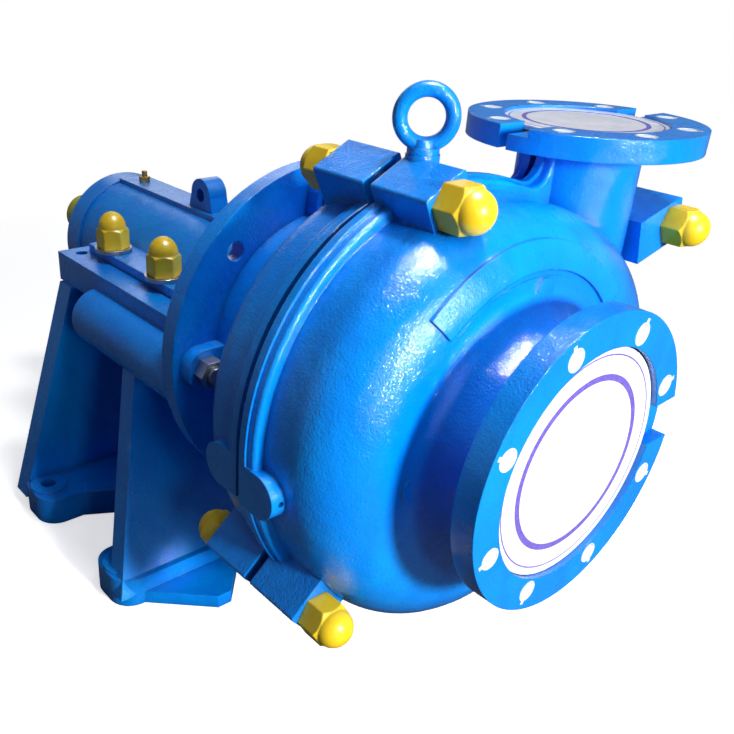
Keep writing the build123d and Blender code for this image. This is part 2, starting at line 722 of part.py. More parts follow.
with BuildPart() as frame_plate_liner:
    add(chamber(LINER_DEPTH))
    with BuildSketch(level(NECK_FOOT)):
        with Locations((DISCHARGE_X, DISCHARGE_Y)):
            Circle(NECK_LINER_RADIUS)
    extrude(amount=DISCHARGE_SEAT - NECK_FOOT)
    split(bisect_by=across(SPLIT_X), keep=Keep.BOTTOM)
    add(chamber(WET_DEPTH), mode=Mode.SUBTRACT)
    with BuildSketch(level(NECK_FOOT)):
        with Locations((DISCHARGE_X, DISCHARGE_Y)):
            Circle(DISCHARGE_BORE)
    extrude(amount=DISCHARGE_SEAT - NECK_FOOT, mode=Mode.SUBTRACT)
    with BuildSketch(across(CAVITY_BACK)):
        Circle(BUSH_RADIUS + RUNNING)
    extrude(amount=2 * LINER_WALL, mode=Mode.SUBTRACT)

with BuildPart() as throat_bush:
    with BuildSketch(across(BUSH_BACK)):
        Circle(BUSH_RADIUS)
    extrude(amount=CAVITY_FRONT - BUSH_BACK)
    with BuildSketch(across(BUSH_BACK)):
        Circle(THROAT_OUTER)
    extrude(amount=SUCTION_SEAT - BUSH_BACK)
    with BuildSketch(across(BUSH_BACK)):
        Circle(THROAT_BORE)
    extrude(amount=SUCTION_SEAT - BUSH_BACK, mode=Mode.SUBTRACT)
    bush_mouth = throat_bush.edges().filter_by(GeomType.CIRCLE).group_by(Axis.X)[0].sort_by(SortBy.RADIUS)[0]
    chamfer(bush_mouth, BUSH_CHAMFER)

with BuildPart() as back_liner:
    with BuildSketch(across(CAVITY_BACK)):
        Circle(BUSH_RADIUS)
        Circle(BOX_RADIUS + RUNNING, mode=Mode.SUBTRACT)
    extrude(amount=LINER_WALL)

with BuildPart() as impeller:
    with BuildSketch(across(IMPELLER_PLATE)):
        Circle(IMPELLER_RADIUS)
    extrude(amount=SHROUD_THICK)
    with BuildSketch(across(VANE_FRONT)):
        Circle(IMPELLER_RADIUS)
        Circle(THROAT_BORE, mode=Mode.SUBTRACT)
    extrude(amount=SHROUD_THICK)
    # Backward-curved vanes between the shrouds
    with BuildSketch(across(VANE_BACK)) as vanes:
        with PolarLocations(0, VANE_COUNT):
            add(curved_blade(VANE_INNER, IMPELLER_RADIUS - VANE_MARGIN, VANE_SWEEP, VANE_THICK))
    extrude(amount=VANE_FRONT - VANE_BACK)
    # Hub that rises into the eye
    with BuildSketch(ALONG):
        with BuildLine():
            hub_foot = (VANE_BACK, VANE_INNER + VANE_THICK / 2)
            hub_tip = (VANE_BACK + NOSE_LENGTH, THREAD_RADIUS * NOSE_TIP_SHARE)
            Polyline(hub_tip, (hub_tip[0], 0), (IMPELLER_BACK, 0), (IMPELLER_BACK, HUB_BOSS_RADIUS))
            Polyline((IMPELLER_BACK, HUB_BOSS_RADIUS), (VANE_BACK, HUB_BOSS_RADIUS), hub_foot)
            RadiusArc(hub_foot, hub_tip, NOSE_LENGTH * 2)
        make_face()
    revolve(axis=SHAFT_AXIS)
    # Expelling vanes outside both shrouds
    for face_x, height, inner in (
        (IMPELLER_PLATE, -EXPELLER_HEIGHT, HUB_BOSS_RADIUS + 2 * EXPELLER_START),
        (FRONT_PLATE, EXPELLER_HEIGHT, THROAT_BORE + EXPELLER_START),
    ):
        with BuildSketch(across(face_x)):
            with PolarLocations(0, EXPELLER_COUNT):
                add(curved_blade(inner, IMPELLER_RADIUS - EXPELLER_MARGIN, VANE_SWEEP / 2, EXPELLER_THICK))
        extrude(amount=height)
    with BuildSketch(across(IMPELLER_BACK)):
        Circle(THREAD_RADIUS + FIT)
    extrude(amount=THREAD_LENGTH, mode=Mode.SUBTRACT)

with BuildPart() as cover_plate:
    add(casing_half(COVER_SPLIT, 0, 1))
    # Suction branch with its hollow-cornered neck
    with BuildSketch(ALONG):
        neck_x = DOME_FRONT + SUCTION_NECK_ROUND
        neck_top = SUCTION_NECK_RADIUS + SUCTION_NECK_ROUND
        flange_back = SUCTION_FACE - SUCTION_FLANGE_THICK
        with BuildLine():
            Polyline(
                (DOME_FRONT, neck_top),
                (CAVITY_FRONT, neck_top),
                (CAVITY_FRONT, SUCTION_BORE),
                (SUCTION_FACE, SUCTION_BORE),
                (SUCTION_FACE, SUCTION_FLANGE_RADIUS),
                (flange_back, SUCTION_FLANGE_RADIUS),
                (flange_back, SUCTION_NECK_RADIUS),
                (neck_x, SUCTION_NECK_RADIUS),
            )
            CenterArc((neck_x, neck_top), SUCTION_NECK_ROUND, 180, 90)
        make_face()
    revolve(axis=SHAFT_AXIS)
    with BuildSketch(across(CAVITY_FRONT)):
        Circle(SUCTION_BORE)
    extrude(amount=SUCTION_FACE - CAVITY_FRONT, mode=Mode.SUBTRACT)
    with BuildSketch(across(SUCTION_SEAT)):
        Circle(SUCTION_RECESS_RADIUS)
        with Locations(Location((0, 0, 0), (0, 0, 1), SUCTION_NOTCH_ANGLE)):
            with Locations((SUCTION_FLANGE_RADIUS / 2 + 2, 0)):
                Rectangle(SUCTION_FLANGE_RADIUS, SUCTION_NOTCH_WIDTH)
    extrude(amount=SUCTION_RECESS_DEPTH, mode=Mode.SUBTRACT)
    with BuildSketch(across(flange_back)):
        with PolarLocations(SUCTION_HOLE_CIRCLE, FLANGE_HOLE_COUNT, 180 / FLANGE_HOLE_COUNT):
            Circle(FLANGE_HOLE_RADIUS)
    extrude(amount=SUCTION_FLANGE_THICK, mode=Mode.SUBTRACT)
    # Pry slots in the discharge face beside the split
    with BuildSketch(level(DISCHARGE_FACE)):
        with Locations((COVER_SPLIT + PRY_WIDTH / 2, DISCHARGE_Y)):
            Rectangle(PRY_WIDTH, 2 * DISCHARGE_FLANGE_RADIUS)
    extrude(amount=-PRY_DEPTH, mode=Mode.SUBTRACT)
    # Raised arc pad and round marks on the domed front
    with BuildSketch(across(COVER_SPLIT), mode=Mode.PRIVATE) as marks:
        with BuildLine():
            outer_arc = CenterArc((0, 0), PAD_OUTER, PAD_FROM, PAD_SWEEP)
            inner_arc = CenterArc((0, 0), PAD_INNER, PAD_FROM, PAD_SWEEP)
            Line(outer_arc @ 0, inner_arc @ 0)
            Line(outer_arc @ 1, inner_arc @ 1)
        make_face()
        with Locations(*DOTS):
            Circle(DOT_RADIUS)
    with BuildPart(mode=Mode.PRIVATE) as raised:
        extrude(marks.sketch, amount=DOME_FRONT - COVER_SPLIT + PAD_RISE)
        add(chamber(-PAD_RISE), mode=Mode.INTERSECT)
    add(raised.part)
    add(chamber(CASING_WALL), mode=Mode.SUBTRACT)
    # Boss under the eye bolt
    with BuildSketch(level(SPIRAL_RADIUS - DOME_INSET - CASING_WALL)):
        with Locations((EYE_X, EYE_Y)):
            Circle(EYE_BOSS_RADIUS)
    extrude(amount=EYE_BOSS_TOP - SPIRAL_RADIUS + DOME_INSET + CASING_WALL)
    split(bisect_by=across(COVER_SPLIT), keep=Keep.TOP)
    with BuildSketch(level(EYE_BOSS_TOP - EYE_SHANK_LENGTH)):
        with Locations((EYE_X, EYE_Y)):
            Circle(EYE_SHANK_RADIUS + FIT)
    extrude(amount=EYE_SHANK_LENGTH, mode=Mode.SUBTRACT)
    # Stud holes and the flat seats cut round them beside the dome
    stud_spots = [(bolt_y, bolt_z) for bolt_y, bolt_z, turn in LUGS]
    with BuildSketch(across(COVER_SPLIT)):
        with Locations(*stud_spots):
            Circle(CASING_STUD_RADIUS + CASING_HOLE_PLAY)
    extrude(amount=LUG_LENGTH, mode=Mode.SUBTRACT)
    with BuildSketch(across(COVER_SPLIT + LUG_LENGTH)):
        with Locations(*stud_spots):
            Circle(CAP_ACROSS / sqrt(3) + RUNNING)
    extrude(amount=CAP_LENGTH, mode=Mode.SUBTRACT)

with BuildPart() as frame_plate:
    add(casing_half(FRAME_SPLIT, FRAME_RIM_INSET, -1))
    with BuildSketch(across(RING_FRONT)):
        Circle(HUB_RADIUS)
        Circle(HUB_RADIUS - HUB_WALL, mode=Mode.SUBTRACT)
    extrude(amount=DOME_BACK - RING_FRONT + 1)
    with BuildSketch(across(RING_FRONT)):
        with PolarLocations(RING_HOLE_CIRCLE, HUB_EAR_COUNT):
            with Locations((-HUB_EAR_RADIUS / 2, 0)):
                Rectangle(HUB_EAR_RADIUS, 2 * HUB_EAR_RADIUS)
            Circle(HUB_EAR_RADIUS)
        Circle(HUB_RADIUS - HUB_WALL, mode=Mode.SUBTRACT)
    extrude(amount=HUB_EAR_THICK)
    with BuildSketch(across(RING_FRONT)):
        with PolarLocations(RING_HOLE_CIRCLE, HUB_EAR_COUNT):
            Circle(RING_HOLE_RADIUS)
    extrude(amount=HUB_EAR_THICK, mode=Mode.SUBTRACT)
    with BuildSketch(across(DOME_BACK)):
        Circle(BOX_RADIUS + RUNNING)
    extrude(amount=CASING_WALL, mode=Mode.SUBTRACT)

with BuildPart() as stuffing_box:
    with BuildSketch(across(BOX_BACK)):
        Circle(BOX_RADIUS)
        Circle(BOX_BORE, mode=Mode.SUBTRACT)
    extrude(amount=WET_BACK - BOX_BACK)
    with BuildSketch(across(DOME_BACK - BOX_FLANGE_THICK)):
        Circle(BOX_FLANGE_RADIUS)
        Circle(BOX_BORE, mode=Mode.SUBTRACT)
    extrude(amount=BOX_FLANGE_THICK)
    with BuildSketch(across(WET_BACK - BOX_NECK_THICK)):
        Circle(BOX_BORE)
        Circle(BOX_NECK_BORE, mode=Mode.SUBTRACT)
    extrude(amount=BOX_NECK_THICK)
    with BuildSketch(across(DOME_BACK - BOX_FLANGE_THICK)):
        with PolarLocations(BOX_SCREW_CIRCLE, BOX_SCREW_COUNT, 180 / BOX_SCREW_COUNT):
            Circle(BOX_SCREW_RADIUS + FIT)
        with Locations((-GLAND_STUD_Y, 0), (GLAND_STUD_Y, 0)):
            Circle(GLAND_STUD_RADIUS + FIT)
    extrude(amount=BOX_FLANGE_THICK, mode=Mode.SUBTRACT)

with BuildPart() as stuffing_box_screws:
    with BuildSketch(across(DOME_BACK - BOX_FLANGE_THICK - BOX_SCREW_HEAD_HEIGHT)):
        with PolarLocations(BOX_SCREW_CIRCLE, BOX_SCREW_COUNT, 180 / BOX_SCREW_COUNT):
            RegularPolygon(BOX_SCREW_HEAD, 6)
    extrude(amount=BOX_SCREW_HEAD_HEIGHT)
    with BuildSketch(across(DOME_BACK - BOX_FLANGE_THICK)):
        with PolarLocations(BOX_SCREW_CIRCLE, BOX_SCREW_COUNT, 180 / BOX_SCREW_COUNT):
            Circle(BOX_SCREW_RADIUS)
    extrude(amount=BOX_FLANGE_THICK)

with BuildPart() as gland_packing:
    for ring in range(PACKING_BEHIND + PACKING_AHEAD):
        beyond_lantern = LANTERN_WIDTH if ring >= PACKING_BEHIND else 0
        with BuildSketch(across(BOX_FLOOR - (ring + 1) * PACKING_WIDTH - beyond_lantern)):
            Circle(BOX_BORE - RUNNING)
            Circle(SLEEVE_RADIUS + RUNNING, mode=Mode.SUBTRACT)
        extrude(amount=PACKING_WIDTH)

with BuildPart() as lantern_ring:
    with BuildSketch(across(BOX_FLOOR - PACKING_BEHIND * PACKING_WIDTH - LANTERN_WIDTH)):
        Circle(BOX_BORE - RUNNING)
        Circle(SLEEVE_RADIUS + RUNNING, mode=Mode.SUBTRACT)
    extrude(amount=LANTERN_WIDTH)
    groove_front = BOX_FLOOR - PACKING_BEHIND * PACKING_WIDTH - (LANTERN_WIDTH - LANTERN_GROOVE_WIDTH) / 2
    with BuildSketch(across(groove_front - LANTERN_GROOVE_WIDTH)):
        Circle(BOX_BORE)
        Circle(BOX_BORE - LANTERN_GROOVE, mode=Mode.SUBTRACT)
    extrude(amount=LANTERN_GROOVE_WIDTH, mode=Mode.SUBTRACT)

with BuildPart() as gland:
    with BuildSketch(across(GLAND_BACK)) as gland_plan:
        with Locations((-GLAND_STUD_Y, 0), (GLAND_STUD_Y, 0)):
            Circle(GLAND_EAR_RADIUS)
        make_hull()
        Circle(BOX_RADIUS)
        Circle(SLEEVE_RADIUS + LOOSE, mode=Mode.SUBTRACT)
        with Locations((-GLAND_STUD_Y, 0), (GLAND_STUD_Y, 0)):
            Circle(GLAND_STUD_RADIUS + LOOSE, mode=Mode.SUBTRACT)
    extrude(amount=GLAND_FLANGE_THICK)
    with BuildSketch(across(GLAND_BACK)):
        Circle(BOX_BORE - RUNNING)
        Circle(SLEEVE_RADIUS + LOOSE, mode=Mode.SUBTRACT)
    extrude(amount=PACKING_END - GLAND_BACK)

with BuildPart() as gland_studs:
    with BuildSketch(across(GLAND_STUD_REAR)):
        with Locations((-GLAND_STUD_Y, 0), (GLAND_STUD_Y, 0)):
            Circle(GLAND_STUD_RADIUS)
    extrude(amount=DOME_BACK - GLAND_STUD_REAR)

with BuildPart() as gland_nuts:
    with BuildSketch(across(GLAND_BACK - GLAND_NUT_HEIGHT)):
        with Locations((-GLAND_STUD_Y, 0), (GLAND_STUD_Y, 0)):
            RegularPolygon(GLAND_NUT_ACROSS / 2, 6, major_radius=False)
            Circle(GLAND_STUD_RADIUS + FIT, mode=Mode.SUBTRACT)
    extrude(amount=GLAND_NUT_HEIGHT)

with BuildPart() as shaft:
    with BuildSketch(ALONG):
        with BuildLine():
            Polyline(
                (SHAFT_END, 0),
                (SHAFT_END, DRIVE_RADIUS),
                (SHAFT_END + DRIVE_LENGTH, DRIVE_RADIUS),
                (SHAFT_END + DRIVE_LENGTH, LABYRINTH_SEAT),
                (DRIVE_BEARING_BACK, LABYRINTH_SEAT),
                (DRIVE_BEARING_BACK, BEARING_SEAT),
                (DRIVE_BEARING_BACK + BEARING_WIDTH, BEARING_SEAT),
                (DRIVE_BEARING_BACK + BEARING_WIDTH, SHAFT_WAIST),
                (PUMP_BEARING_BACK, SHAFT_WAIST),
                (PUMP_BEARING_BACK, BEARING_SEAT),
                (PUMP_BEARING_BACK + BEARING_WIDTH, BEARING_SEAT),
                (PUMP_BEARING_BACK + BEARING_WIDTH, LABYRINTH_SEAT),
                (SPACER_BACK, LABYRINTH_SEAT),
                (SPACER_BACK, SLEEVE_SEAT),
                (IMPELLER_BACK, SLEEVE_SEAT),
                (IMPELLER_BACK, THREAD_RADIUS),
                (IMPELLER_BACK + THREAD_LENGTH, THREAD_RADIUS),
                (IMPELLER_BACK + THREAD_LENGTH, 0),
                close=True,
            )
        make_face()
    revolve(axis=SHAFT_AXIS)
    shaft_ends = shaft.edges().filter_by(GeomType.CIRCLE).group_by(Axis.X)
    chamfer(shaft_ends[0] + shaft_ends[-1], SHAFT_CHAMFER)
    with BuildSketch(level(DRIVE_RADIUS - KEY_DEPTH)):
        with Locations((SHAFT_END + KEY_INSET + KEY_LENGTH / 2, 0)):
            SlotOverall(KEY_LENGTH, KEY_WIDTH + 2 * FIT)
    extrude(amount=KEY_DEPTH, mode=Mode.SUBTRACT)

with BuildPart() as drive_key:
    with BuildSketch(level(DRIVE_RADIUS - KEY_DEPTH)):
        with Locations((SHAFT_END + KEY_INSET + KEY_LENGTH / 2, 0)):
            SlotOverall(KEY_LENGTH - 2 * FIT, KEY_WIDTH)
    extrude(amount=KEY_HEIGHT)
    chamfer(drive_key.faces().sort_by(Axis.Z)[-1].edges(), KEY_CHAMFER)

with BuildPart() as shaft_spacer:
    with BuildSketch(across(SPACER_BACK)):
        Circle(SLEEVE_RADIUS)
        Circle(SLEEVE_SEAT + FIT, mode=Mode.SUBTRACT)
    extrude(amount=SPACER_LENGTH)

with BuildPart() as shaft_sleeve:
    with BuildSketch(across(SLEEVE_BACK)):
        Circle(SLEEVE_RADIUS)
        Circle(SLEEVE_SEAT + FIT, mode=Mode.SUBTRACT)
    extrude(amount=IMPELLER_BACK - SLEEVE_BACK)
    chamfer(shaft_sleeve.edges().filter_by(GeomType.CIRCLE).group_by(SortBy.RADIUS)[-1], SLEEVE_CHAMFER)

bearing_backs = {"drive_end": DRIVE_BEARING_BACK, "pump_end": PUMP_BEARING_BACK}
labyrinth_spans = {
    "drive_end": (SHAFT_END + DRIVE_LENGTH, DRIVE_BEARING_BACK),
    "pump_end": (PUMP_BEARING_BACK + BEARING_WIDTH, SPACER_BACK),
}
rotating = {}
for place, bearing_back in bearing_backs.items():
    with BuildPart() as inner_ring:
        with BuildSketch(across(bearing_back)):
            Circle(INNER_RACE)
            Circle(BEARING_SEAT + FIT, mode=Mode.SUBTRACT)
        extrude(amount=BEARING_WIDTH)
    with BuildPart() as outer_ring:
        with BuildSketch(across(bearing_back)):
            Circle(BEARING_OUTER - FIT)
            Circle(OUTER_RACE, mode=Mode.SUBTRACT)
        extrude(amount=BEARING_WIDTH)
    with BuildPart() as rollers:
        roller_back = bearing_back + (BEARING_WIDTH - ROLLER_LENGTH) / 2
        with BuildSketch(across(roller_back)):
            with PolarLocations(ROLLER_PITCH, ROLLER_COUNT):
                Circle(ROLLER_RADIUS)
        extrude(amount=ROLLER_LENGTH)
        with BuildSketch(across(roller_back - CAGE_THICK), across(roller_back + ROLLER_LENGTH)):
            Circle(ROLLER_PITCH + ROLLER_RADIUS / 2)
            Circle(ROLLER_PITCH - ROLLER_RADIUS / 2, mode=Mode.SUBTRACT)
        extrude(amount=CAGE_THICK)
    with BuildPart() as labyrinth:
        labyrinth_back, labyrinth_front = labyrinth_spans[place]
        with BuildSketch(across(labyrinth_back)):
            Circle(LABYRINTH_RADIUS)
            Circle(LABYRINTH_SEAT + FIT, mode=Mode.SUBTRACT)
        extrude(amount=labyrinth_front - labyrinth_back)
        groove_step = (labyrinth_front - labyrinth_back) / (LABYRINTH_GROOVES + 1)
        for groove in range(1, LABYRINTH_GROOVES + 1):
            with BuildSketch(across(labyrinth_back + groove * groove_step - LABYRINTH_GROOVE / 2)):
                Circle(LABYRINTH_RADIUS + 1)
                Circle(LABYRINTH_RADIUS - LABYRINTH_GROOVE, mode=Mode.SUBTRACT)
            extrude(amount=LABYRINTH_GROOVE, mode=Mode.SUBTRACT)
    rotating[f"bearing_inner_ring_{place}"] = inner_ring
    rotating[f"bearing_outer_ring_{place}"] = outer_ring
    rotating[f"bearing_rollers_{place}"] = rollers
    rotating[f"labyrinth_{place}"] = labyrinth

with BuildPart() as bearing_housing:
    with BuildSketch(across(HOUSING_BACK)):
        Circle(HOUSING_RADIUS)
    extrude(amount=HOUSING_FRONT - HOUSING_BACK)
    # Clamping lips that lie on the cradle rails
    with BuildSketch(level(RAIL_TOP + RUNNING)):
        with Locations(((LIP_BACK + LIP_FRONT) / 2, 0)):
            Rectangle(LIP_FRONT - LIP_BACK, 2 * LIP_OUTER)
    extrude(amount=LIP_THICK)
    # Flat strip along the top and the lifting plate
    with BuildSketch(ALONG.offset(-STRIP_HALF_WIDTH)):
        with Locations(((HOUSING_BACK + HOUSING_FRONT) / 2, (HOUSING_RADIUS + STRIP_RISE) / 2)):
            Rectangle(HOUSING_FRONT - HOUSING_BACK, HOUSING_RADIUS + STRIP_RISE)
    extrude(amount=2 * STRIP_HALF_WIDTH)
    with BuildSketch(ALONG):
        with BuildLine():
            tip_centre = LUG_PLATE_TOP - LUG_PLATE_LENGTH / 3
            half = LUG_PLATE_LENGTH / 2
            Polyline(
                (LUG_PLATE_X - LUG_PLATE_LENGTH / 3, tip_centre),
                (LUG_PLATE_X - half, HOUSING_CAVITY),
                (LUG_PLATE_X + half, HOUSING_CAVITY),
                (LUG_PLATE_X + LUG_PLATE_LENGTH / 3, tip_centre),
            )
            CenterArc((LUG_PLATE_X, tip_centre), LUG_PLATE_LENGTH / 3, 0, 180)
        make_face()
    extrude(amount=LUG_PLATE_THICK / 2, both=True)
    with BuildSketch(ALONG):
        with Locations((LUG_PLATE_X, LUG_PLATE_TOP - LUG_PLATE_LENGTH / 3)):
            Circle(LUG_PLATE_HOLE)
    extrude(amount=LUG_PLATE_THICK, both=True, mode=Mode.SUBTRACT)
    # Adjusting lug below the drive end
    with BuildSketch(across(ADJUST_LUG_BACK)):
        with Locations((0, -(ADJUST_DROP + HOUSING_CAVITY) / 2)):
            Rectangle(2 * ADJUST_LUG_HALF_WIDTH, ADJUST_DROP - HOUSING_CAVITY)
        with Locations((0, -ADJUST_DROP)):
            Circle(ADJUST_LUG_HALF_WIDTH)
    extrude(amount=ADJUST_LUG_THICK)
    # Bores and screw holes
    with BuildSketch(across(HOUSING_BACK)):
        Circle(BEARING_OUTER)
    extrude(amount=HOUSING_FRONT - HOUSING_BACK, mode=Mode.SUBTRACT)
    with BuildSketch(across(DRIVE_BEARING_BACK + BEARING_WIDTH)):
        Circle(HOUSING_CAVITY)
    extrude(amount=PUMP_BEARING_BACK - DRIVE_BEARING_BACK - BEARING_WIDTH, mode=Mode.SUBTRACT)
    with BuildSketch(across(ADJUST_LUG_BACK)):
        with Locations((0, -ADJUST_DROP)):
            Circle(ADJUST_SCREW_RADIUS + RUNNING)
    extrude(amount=ADJUST_LUG_THICK, mode=Mode.SUBTRACT)
    with BuildSketch(level(RAIL_TOP + RUNNING)):
        for clamp_x in CLAMP_PLACES:
            with Locations((clamp_x, -CLAMP_Y), (clamp_x, CLAMP_Y)):
                SlotCenterToCenter(CLAMP_SLOT_TRAVEL, 2 * (CLAMP_STUD_RADIUS + RUNNING))
    extrude(amount=LIP_THICK, mode=Mode.SUBTRACT)
    with BuildSketch(across(HOUSING_BACK), across(HOUSING_FRONT - COVER_SCREW_LENGTH)):
        with PolarLocations(COVER_SCREW_CIRCLE, COVER_SCREW_COUNT, 180 / COVER_SCREW_COUNT):
            Circle(COVER_SCREW_RADIUS + FIT)
    extrude(amount=COVER_SCREW_LENGTH, mode=Mode.SUBTRACT)
    with BuildSketch(level(HOUSING_CAVITY)):
        with Locations(*[(x, 0) for x in NIPPLE_PLACES]):
            Circle(NIPPLE_RADIUS + FIT)
    extrude(amount=HOUSING_RADIUS, mode=Mode.SUBTRACT)

end_covers = {}
for place, plate_back, plate_thick, spigot_back in (
    ("drive_end", DRIVE_COVER_BACK, DRIVE_COVER_THICK, HOUSING_BACK),
    ("pump_end", HOUSING_FRONT, PUMP_COVER_THICK, HOUSING_FRONT - COVER_SPIGOT),
):
    with BuildPart() as end_cover:
        with BuildSketch(across(plate_back)):
            Circle(END_COVER_RADIUS)
        extrude(amount=plate_thick)
        outer_face = end_cover.faces().sort_by(Axis.X)[0 if place == "drive_end" else -1]
        fillet(outer_face.edges(), COVER_ROUND)
        with BuildSketch(across(spigot_back)):
            Circle(BEARING_OUTER - RUNNING)
        extrude(amount=COVER_SPIGOT)
        with BuildSketch(across(plate_back)):
            with PolarLocations(COVER_SCREW_CIRCLE, COVER_SCREW_COUNT, 180 / COVER_SCREW_COUNT):
                Circle(COVER_SCREW_RADIUS + FIT)
        extrude(amount=plate_thick, mode=Mode.SUBTRACT)
        with BuildSketch(across(DRIVE_COVER_BACK)):
            Circle(LABYRINTH_RADIUS + LOOSE)
        extrude(amount=PUMP_COVER_FRONT - DRIVE_COVER_BACK, mode=Mode.SUBTRACT)
    with BuildPart() as cover_screws:
        head_back = plate_back - COVER_SCREW_HEAD_HEIGHT
        shank_back = plate_back
        if place == "pump_end":
            head_back = plate_back + plate_thick
            shank_back = plate_back - COVER_SCREW_LENGTH
        with BuildSketch(across(head_back)):
            with PolarLocations(COVER_SCREW_CIRCLE, COVER_SCREW_COUNT, 180 / COVER_SCREW_COUNT):
                RegularPolygon(COVER_SCREW_HEAD, 6)
        extrude(amount=COVER_SCREW_HEAD_HEIGHT)
        with BuildSketch(across(shank_back)):
            with PolarLocations(COVER_SCREW_CIRCLE, COVER_SCREW_COUNT, 180 / COVER_SCREW_COUNT):
                Circle(COVER_SCREW_RADIUS)
        extrude(amount=plate_thick + COVER_SCREW_LENGTH)
    end_covers[f"end_cover_{place}"] = end_cover
    end_covers[f"end_cover_screws_{place}"] = cover_screws

with BuildPart() as grease_nipples:
    strip_top = HOUSING_RADIUS + STRIP_RISE
    with BuildSketch(level(HOUSING_CAVITY)):
        with Locations(*[(x, 0) for x in NIPPLE_PLACES]):
            Circle(NIPPLE_RADIUS)
    extrude(amount=strip_top - HOUSING_CAVITY)
    with BuildSketch(level(strip_top)):
        with Locations(*[(x, 0) for x in NIPPLE_PLACES]):
            RegularPolygon(2 * NIPPLE_RADIUS, 6)
    extrude(amount=NIPPLE_HEIGHT / 2)
    with BuildSketch(level(strip_top + NIPPLE_HEIGHT / 2)):
        with Locations(*[(x, 0) for x in NIPPLE_PLACES]):
            Circle(NIPPLE_RADIUS)
    extrude(amount=NIPPLE_HEIGHT / 2)

with BuildPart() as adjusting_screw:
    with BuildSketch(across(ADJUST_SCREW_REAR)):
        with Locations((0, -ADJUST_DROP)):
            Circle(ADJUST_SCREW_RADIUS)
    extrude(amount=REAR_WEB_BACK + REAR_WEB_THICK - ADJUST_SCREW_REAR)

with BuildPart() as adjusting_nuts:
    nut_backs = (ADJUST_LUG_BACK - ADJUST_NUT_HEIGHT, ADJUST_LUG_BACK + ADJUST_LUG_THICK)
    for nut_back in nut_backs:
        with BuildSketch(across(nut_back)):
            with Locations((0, -ADJUST_DROP)):
                RegularPolygon(ADJUST_NUT_ACROSS / 2, 6, major_radius=False)
                Circle(ADJUST_SCREW_RADIUS + RUNNING, mode=Mode.SUBTRACT)
        extrude(amount=ADJUST_NUT_HEIGHT)

clamp_spots = [(x, y) for x in CLAMP_PLACES for y in (-CLAMP_Y, CLAMP_Y)]
washer_top = LIP_TOP + RUNNING + CLAMP_WASHER_THICK
clamp_stud_top = washer_top + CLAMP_NUT_HEIGHT + CLAMP_STUD_RADIUS / 2

with BuildPart() as clamp_studs:
    with BuildSketch(level(RAIL_TOP - RAIL_HEIGHT)):
        with Locations(*clamp_spots):
            Circle(CLAMP_STUD_RADIUS)
    extrude(amount=clamp_stud_top - RAIL_TOP + RAIL_HEIGHT)

with BuildPart() as clamp_washers:
    with BuildSketch(level(LIP_TOP + RUNNING)):
        with Locations(*clamp_spots):
            Circle(CLAMP_WASHER_RADIUS)
            Circle(CLAMP_STUD_RADIUS + RUNNING, mode=Mode.SUBTRACT)
    extrude(amount=CLAMP_WASHER_THICK)

with BuildPart() as clamp_nuts:
    with Locations(*[(x, y, SHAFT_HEIGHT + washer_top) for x, y in clamp_spots]):
        add(nut(CLAMP_NUT_ACROSS, CLAMP_NUT_HEIGHT, CLAMP_STUD_RADIUS + FIT))

with BuildPart() as clamp_nut_caps:
    with Locations(*[(x, y, SHAFT_HEIGHT + washer_top) for x, y in clamp_spots]):
        add(
            nut_cap(
                CLAMP_CAP_ACROSS, CLAMP_CAP_LENGTH, CLAMP_CAP_HEX_LENGTH, CLAMP_NUT_ACROSS, CLAMP_NUT_HEIGHT,
                CLAMP_STUD_RADIUS, clamp_stud_top - washer_top,
            )
        )

lug_spots = [(bolt_y, bolt_z) for bolt_y, bolt_z, turn in LUGS]
lug_front = COVER_SPLIT + LUG_LENGTH
lug_back = FRAME_SPLIT - LUG_LENGTH
stud_proud = CASING_NUT_HEIGHT + CASING_STUD_RADIUS / 2

with BuildPart() as casing_studs:
    with BuildSketch(across(lug_back - stud_proud)):
        with Locations(*lug_spots):
            Circle(CASING_STUD_RADIUS)
    extrude(amount=lug_front - lug_back + 2 * stud_proud)

with BuildPart() as casing_nuts:
    for nut_back in (lug_back - CASING_NUT_HEIGHT, lug_front):
        with BuildSketch(across(nut_back)):
            for spot in lug_spots:
                with Locations(spot):
                    RegularPolygon(CASING_NUT_ACROSS / 2, 6, major_radius=False)
                    Circle(CASING_STUD_RADIUS + FIT, mode=Mode.SUBTRACT)
        extrude(amount=CASING_NUT_HEIGHT)

with BuildPart() as front_nut_caps:
    for bolt_y, bolt_z in lug_spots:
        seat = Plane(origin=(lug_front, bolt_y, SHAFT_HEIGHT + bolt_z), x_dir=(0, 1, 0), z_dir=(1, 0, 0))
        with Locations(seat):
            add(
                nut_cap(
                    CAP_ACROSS, CAP_LENGTH, CAP_HEX_LENGTH, CASING_NUT_ACROSS, CASING_NUT_HEIGHT,
                    CASING_STUD_RADIUS, stud_proud,
                )
            )

with BuildPart() as rear_nut_caps:
    for bolt_y, bolt_z in lug_spots:
        seat = Plane(origin=(lug_back, bolt_y, SHAFT_HEIGHT + bolt_z), x_dir=(0, 1, 0), z_dir=(-1, 0, 0))
        with Locations(seat):
            add(
                nut_cap(
                    CAP_ACROSS, CAP_LENGTH, CAP_HEX_LENGTH, CASING_NUT_ACROSS, CASING_NUT_HEIGHT,
                    CASING_STUD_RADIUS, stud_proud,
                )
            )

ear_front = RING_FRONT + HUB_EAR_THICK
with BuildPart() as ring_studs:
    with BuildSketch(across(RING_BACK)):
        with PolarLocations(RING_HOLE_CIRCLE, HUB_EAR_COUNT):
            Circle(RING_STUD_RADIUS)
    extrude(amount=ear_front - RING_BACK + RING_NUT_HEIGHT + RING_STUD_PROUD)

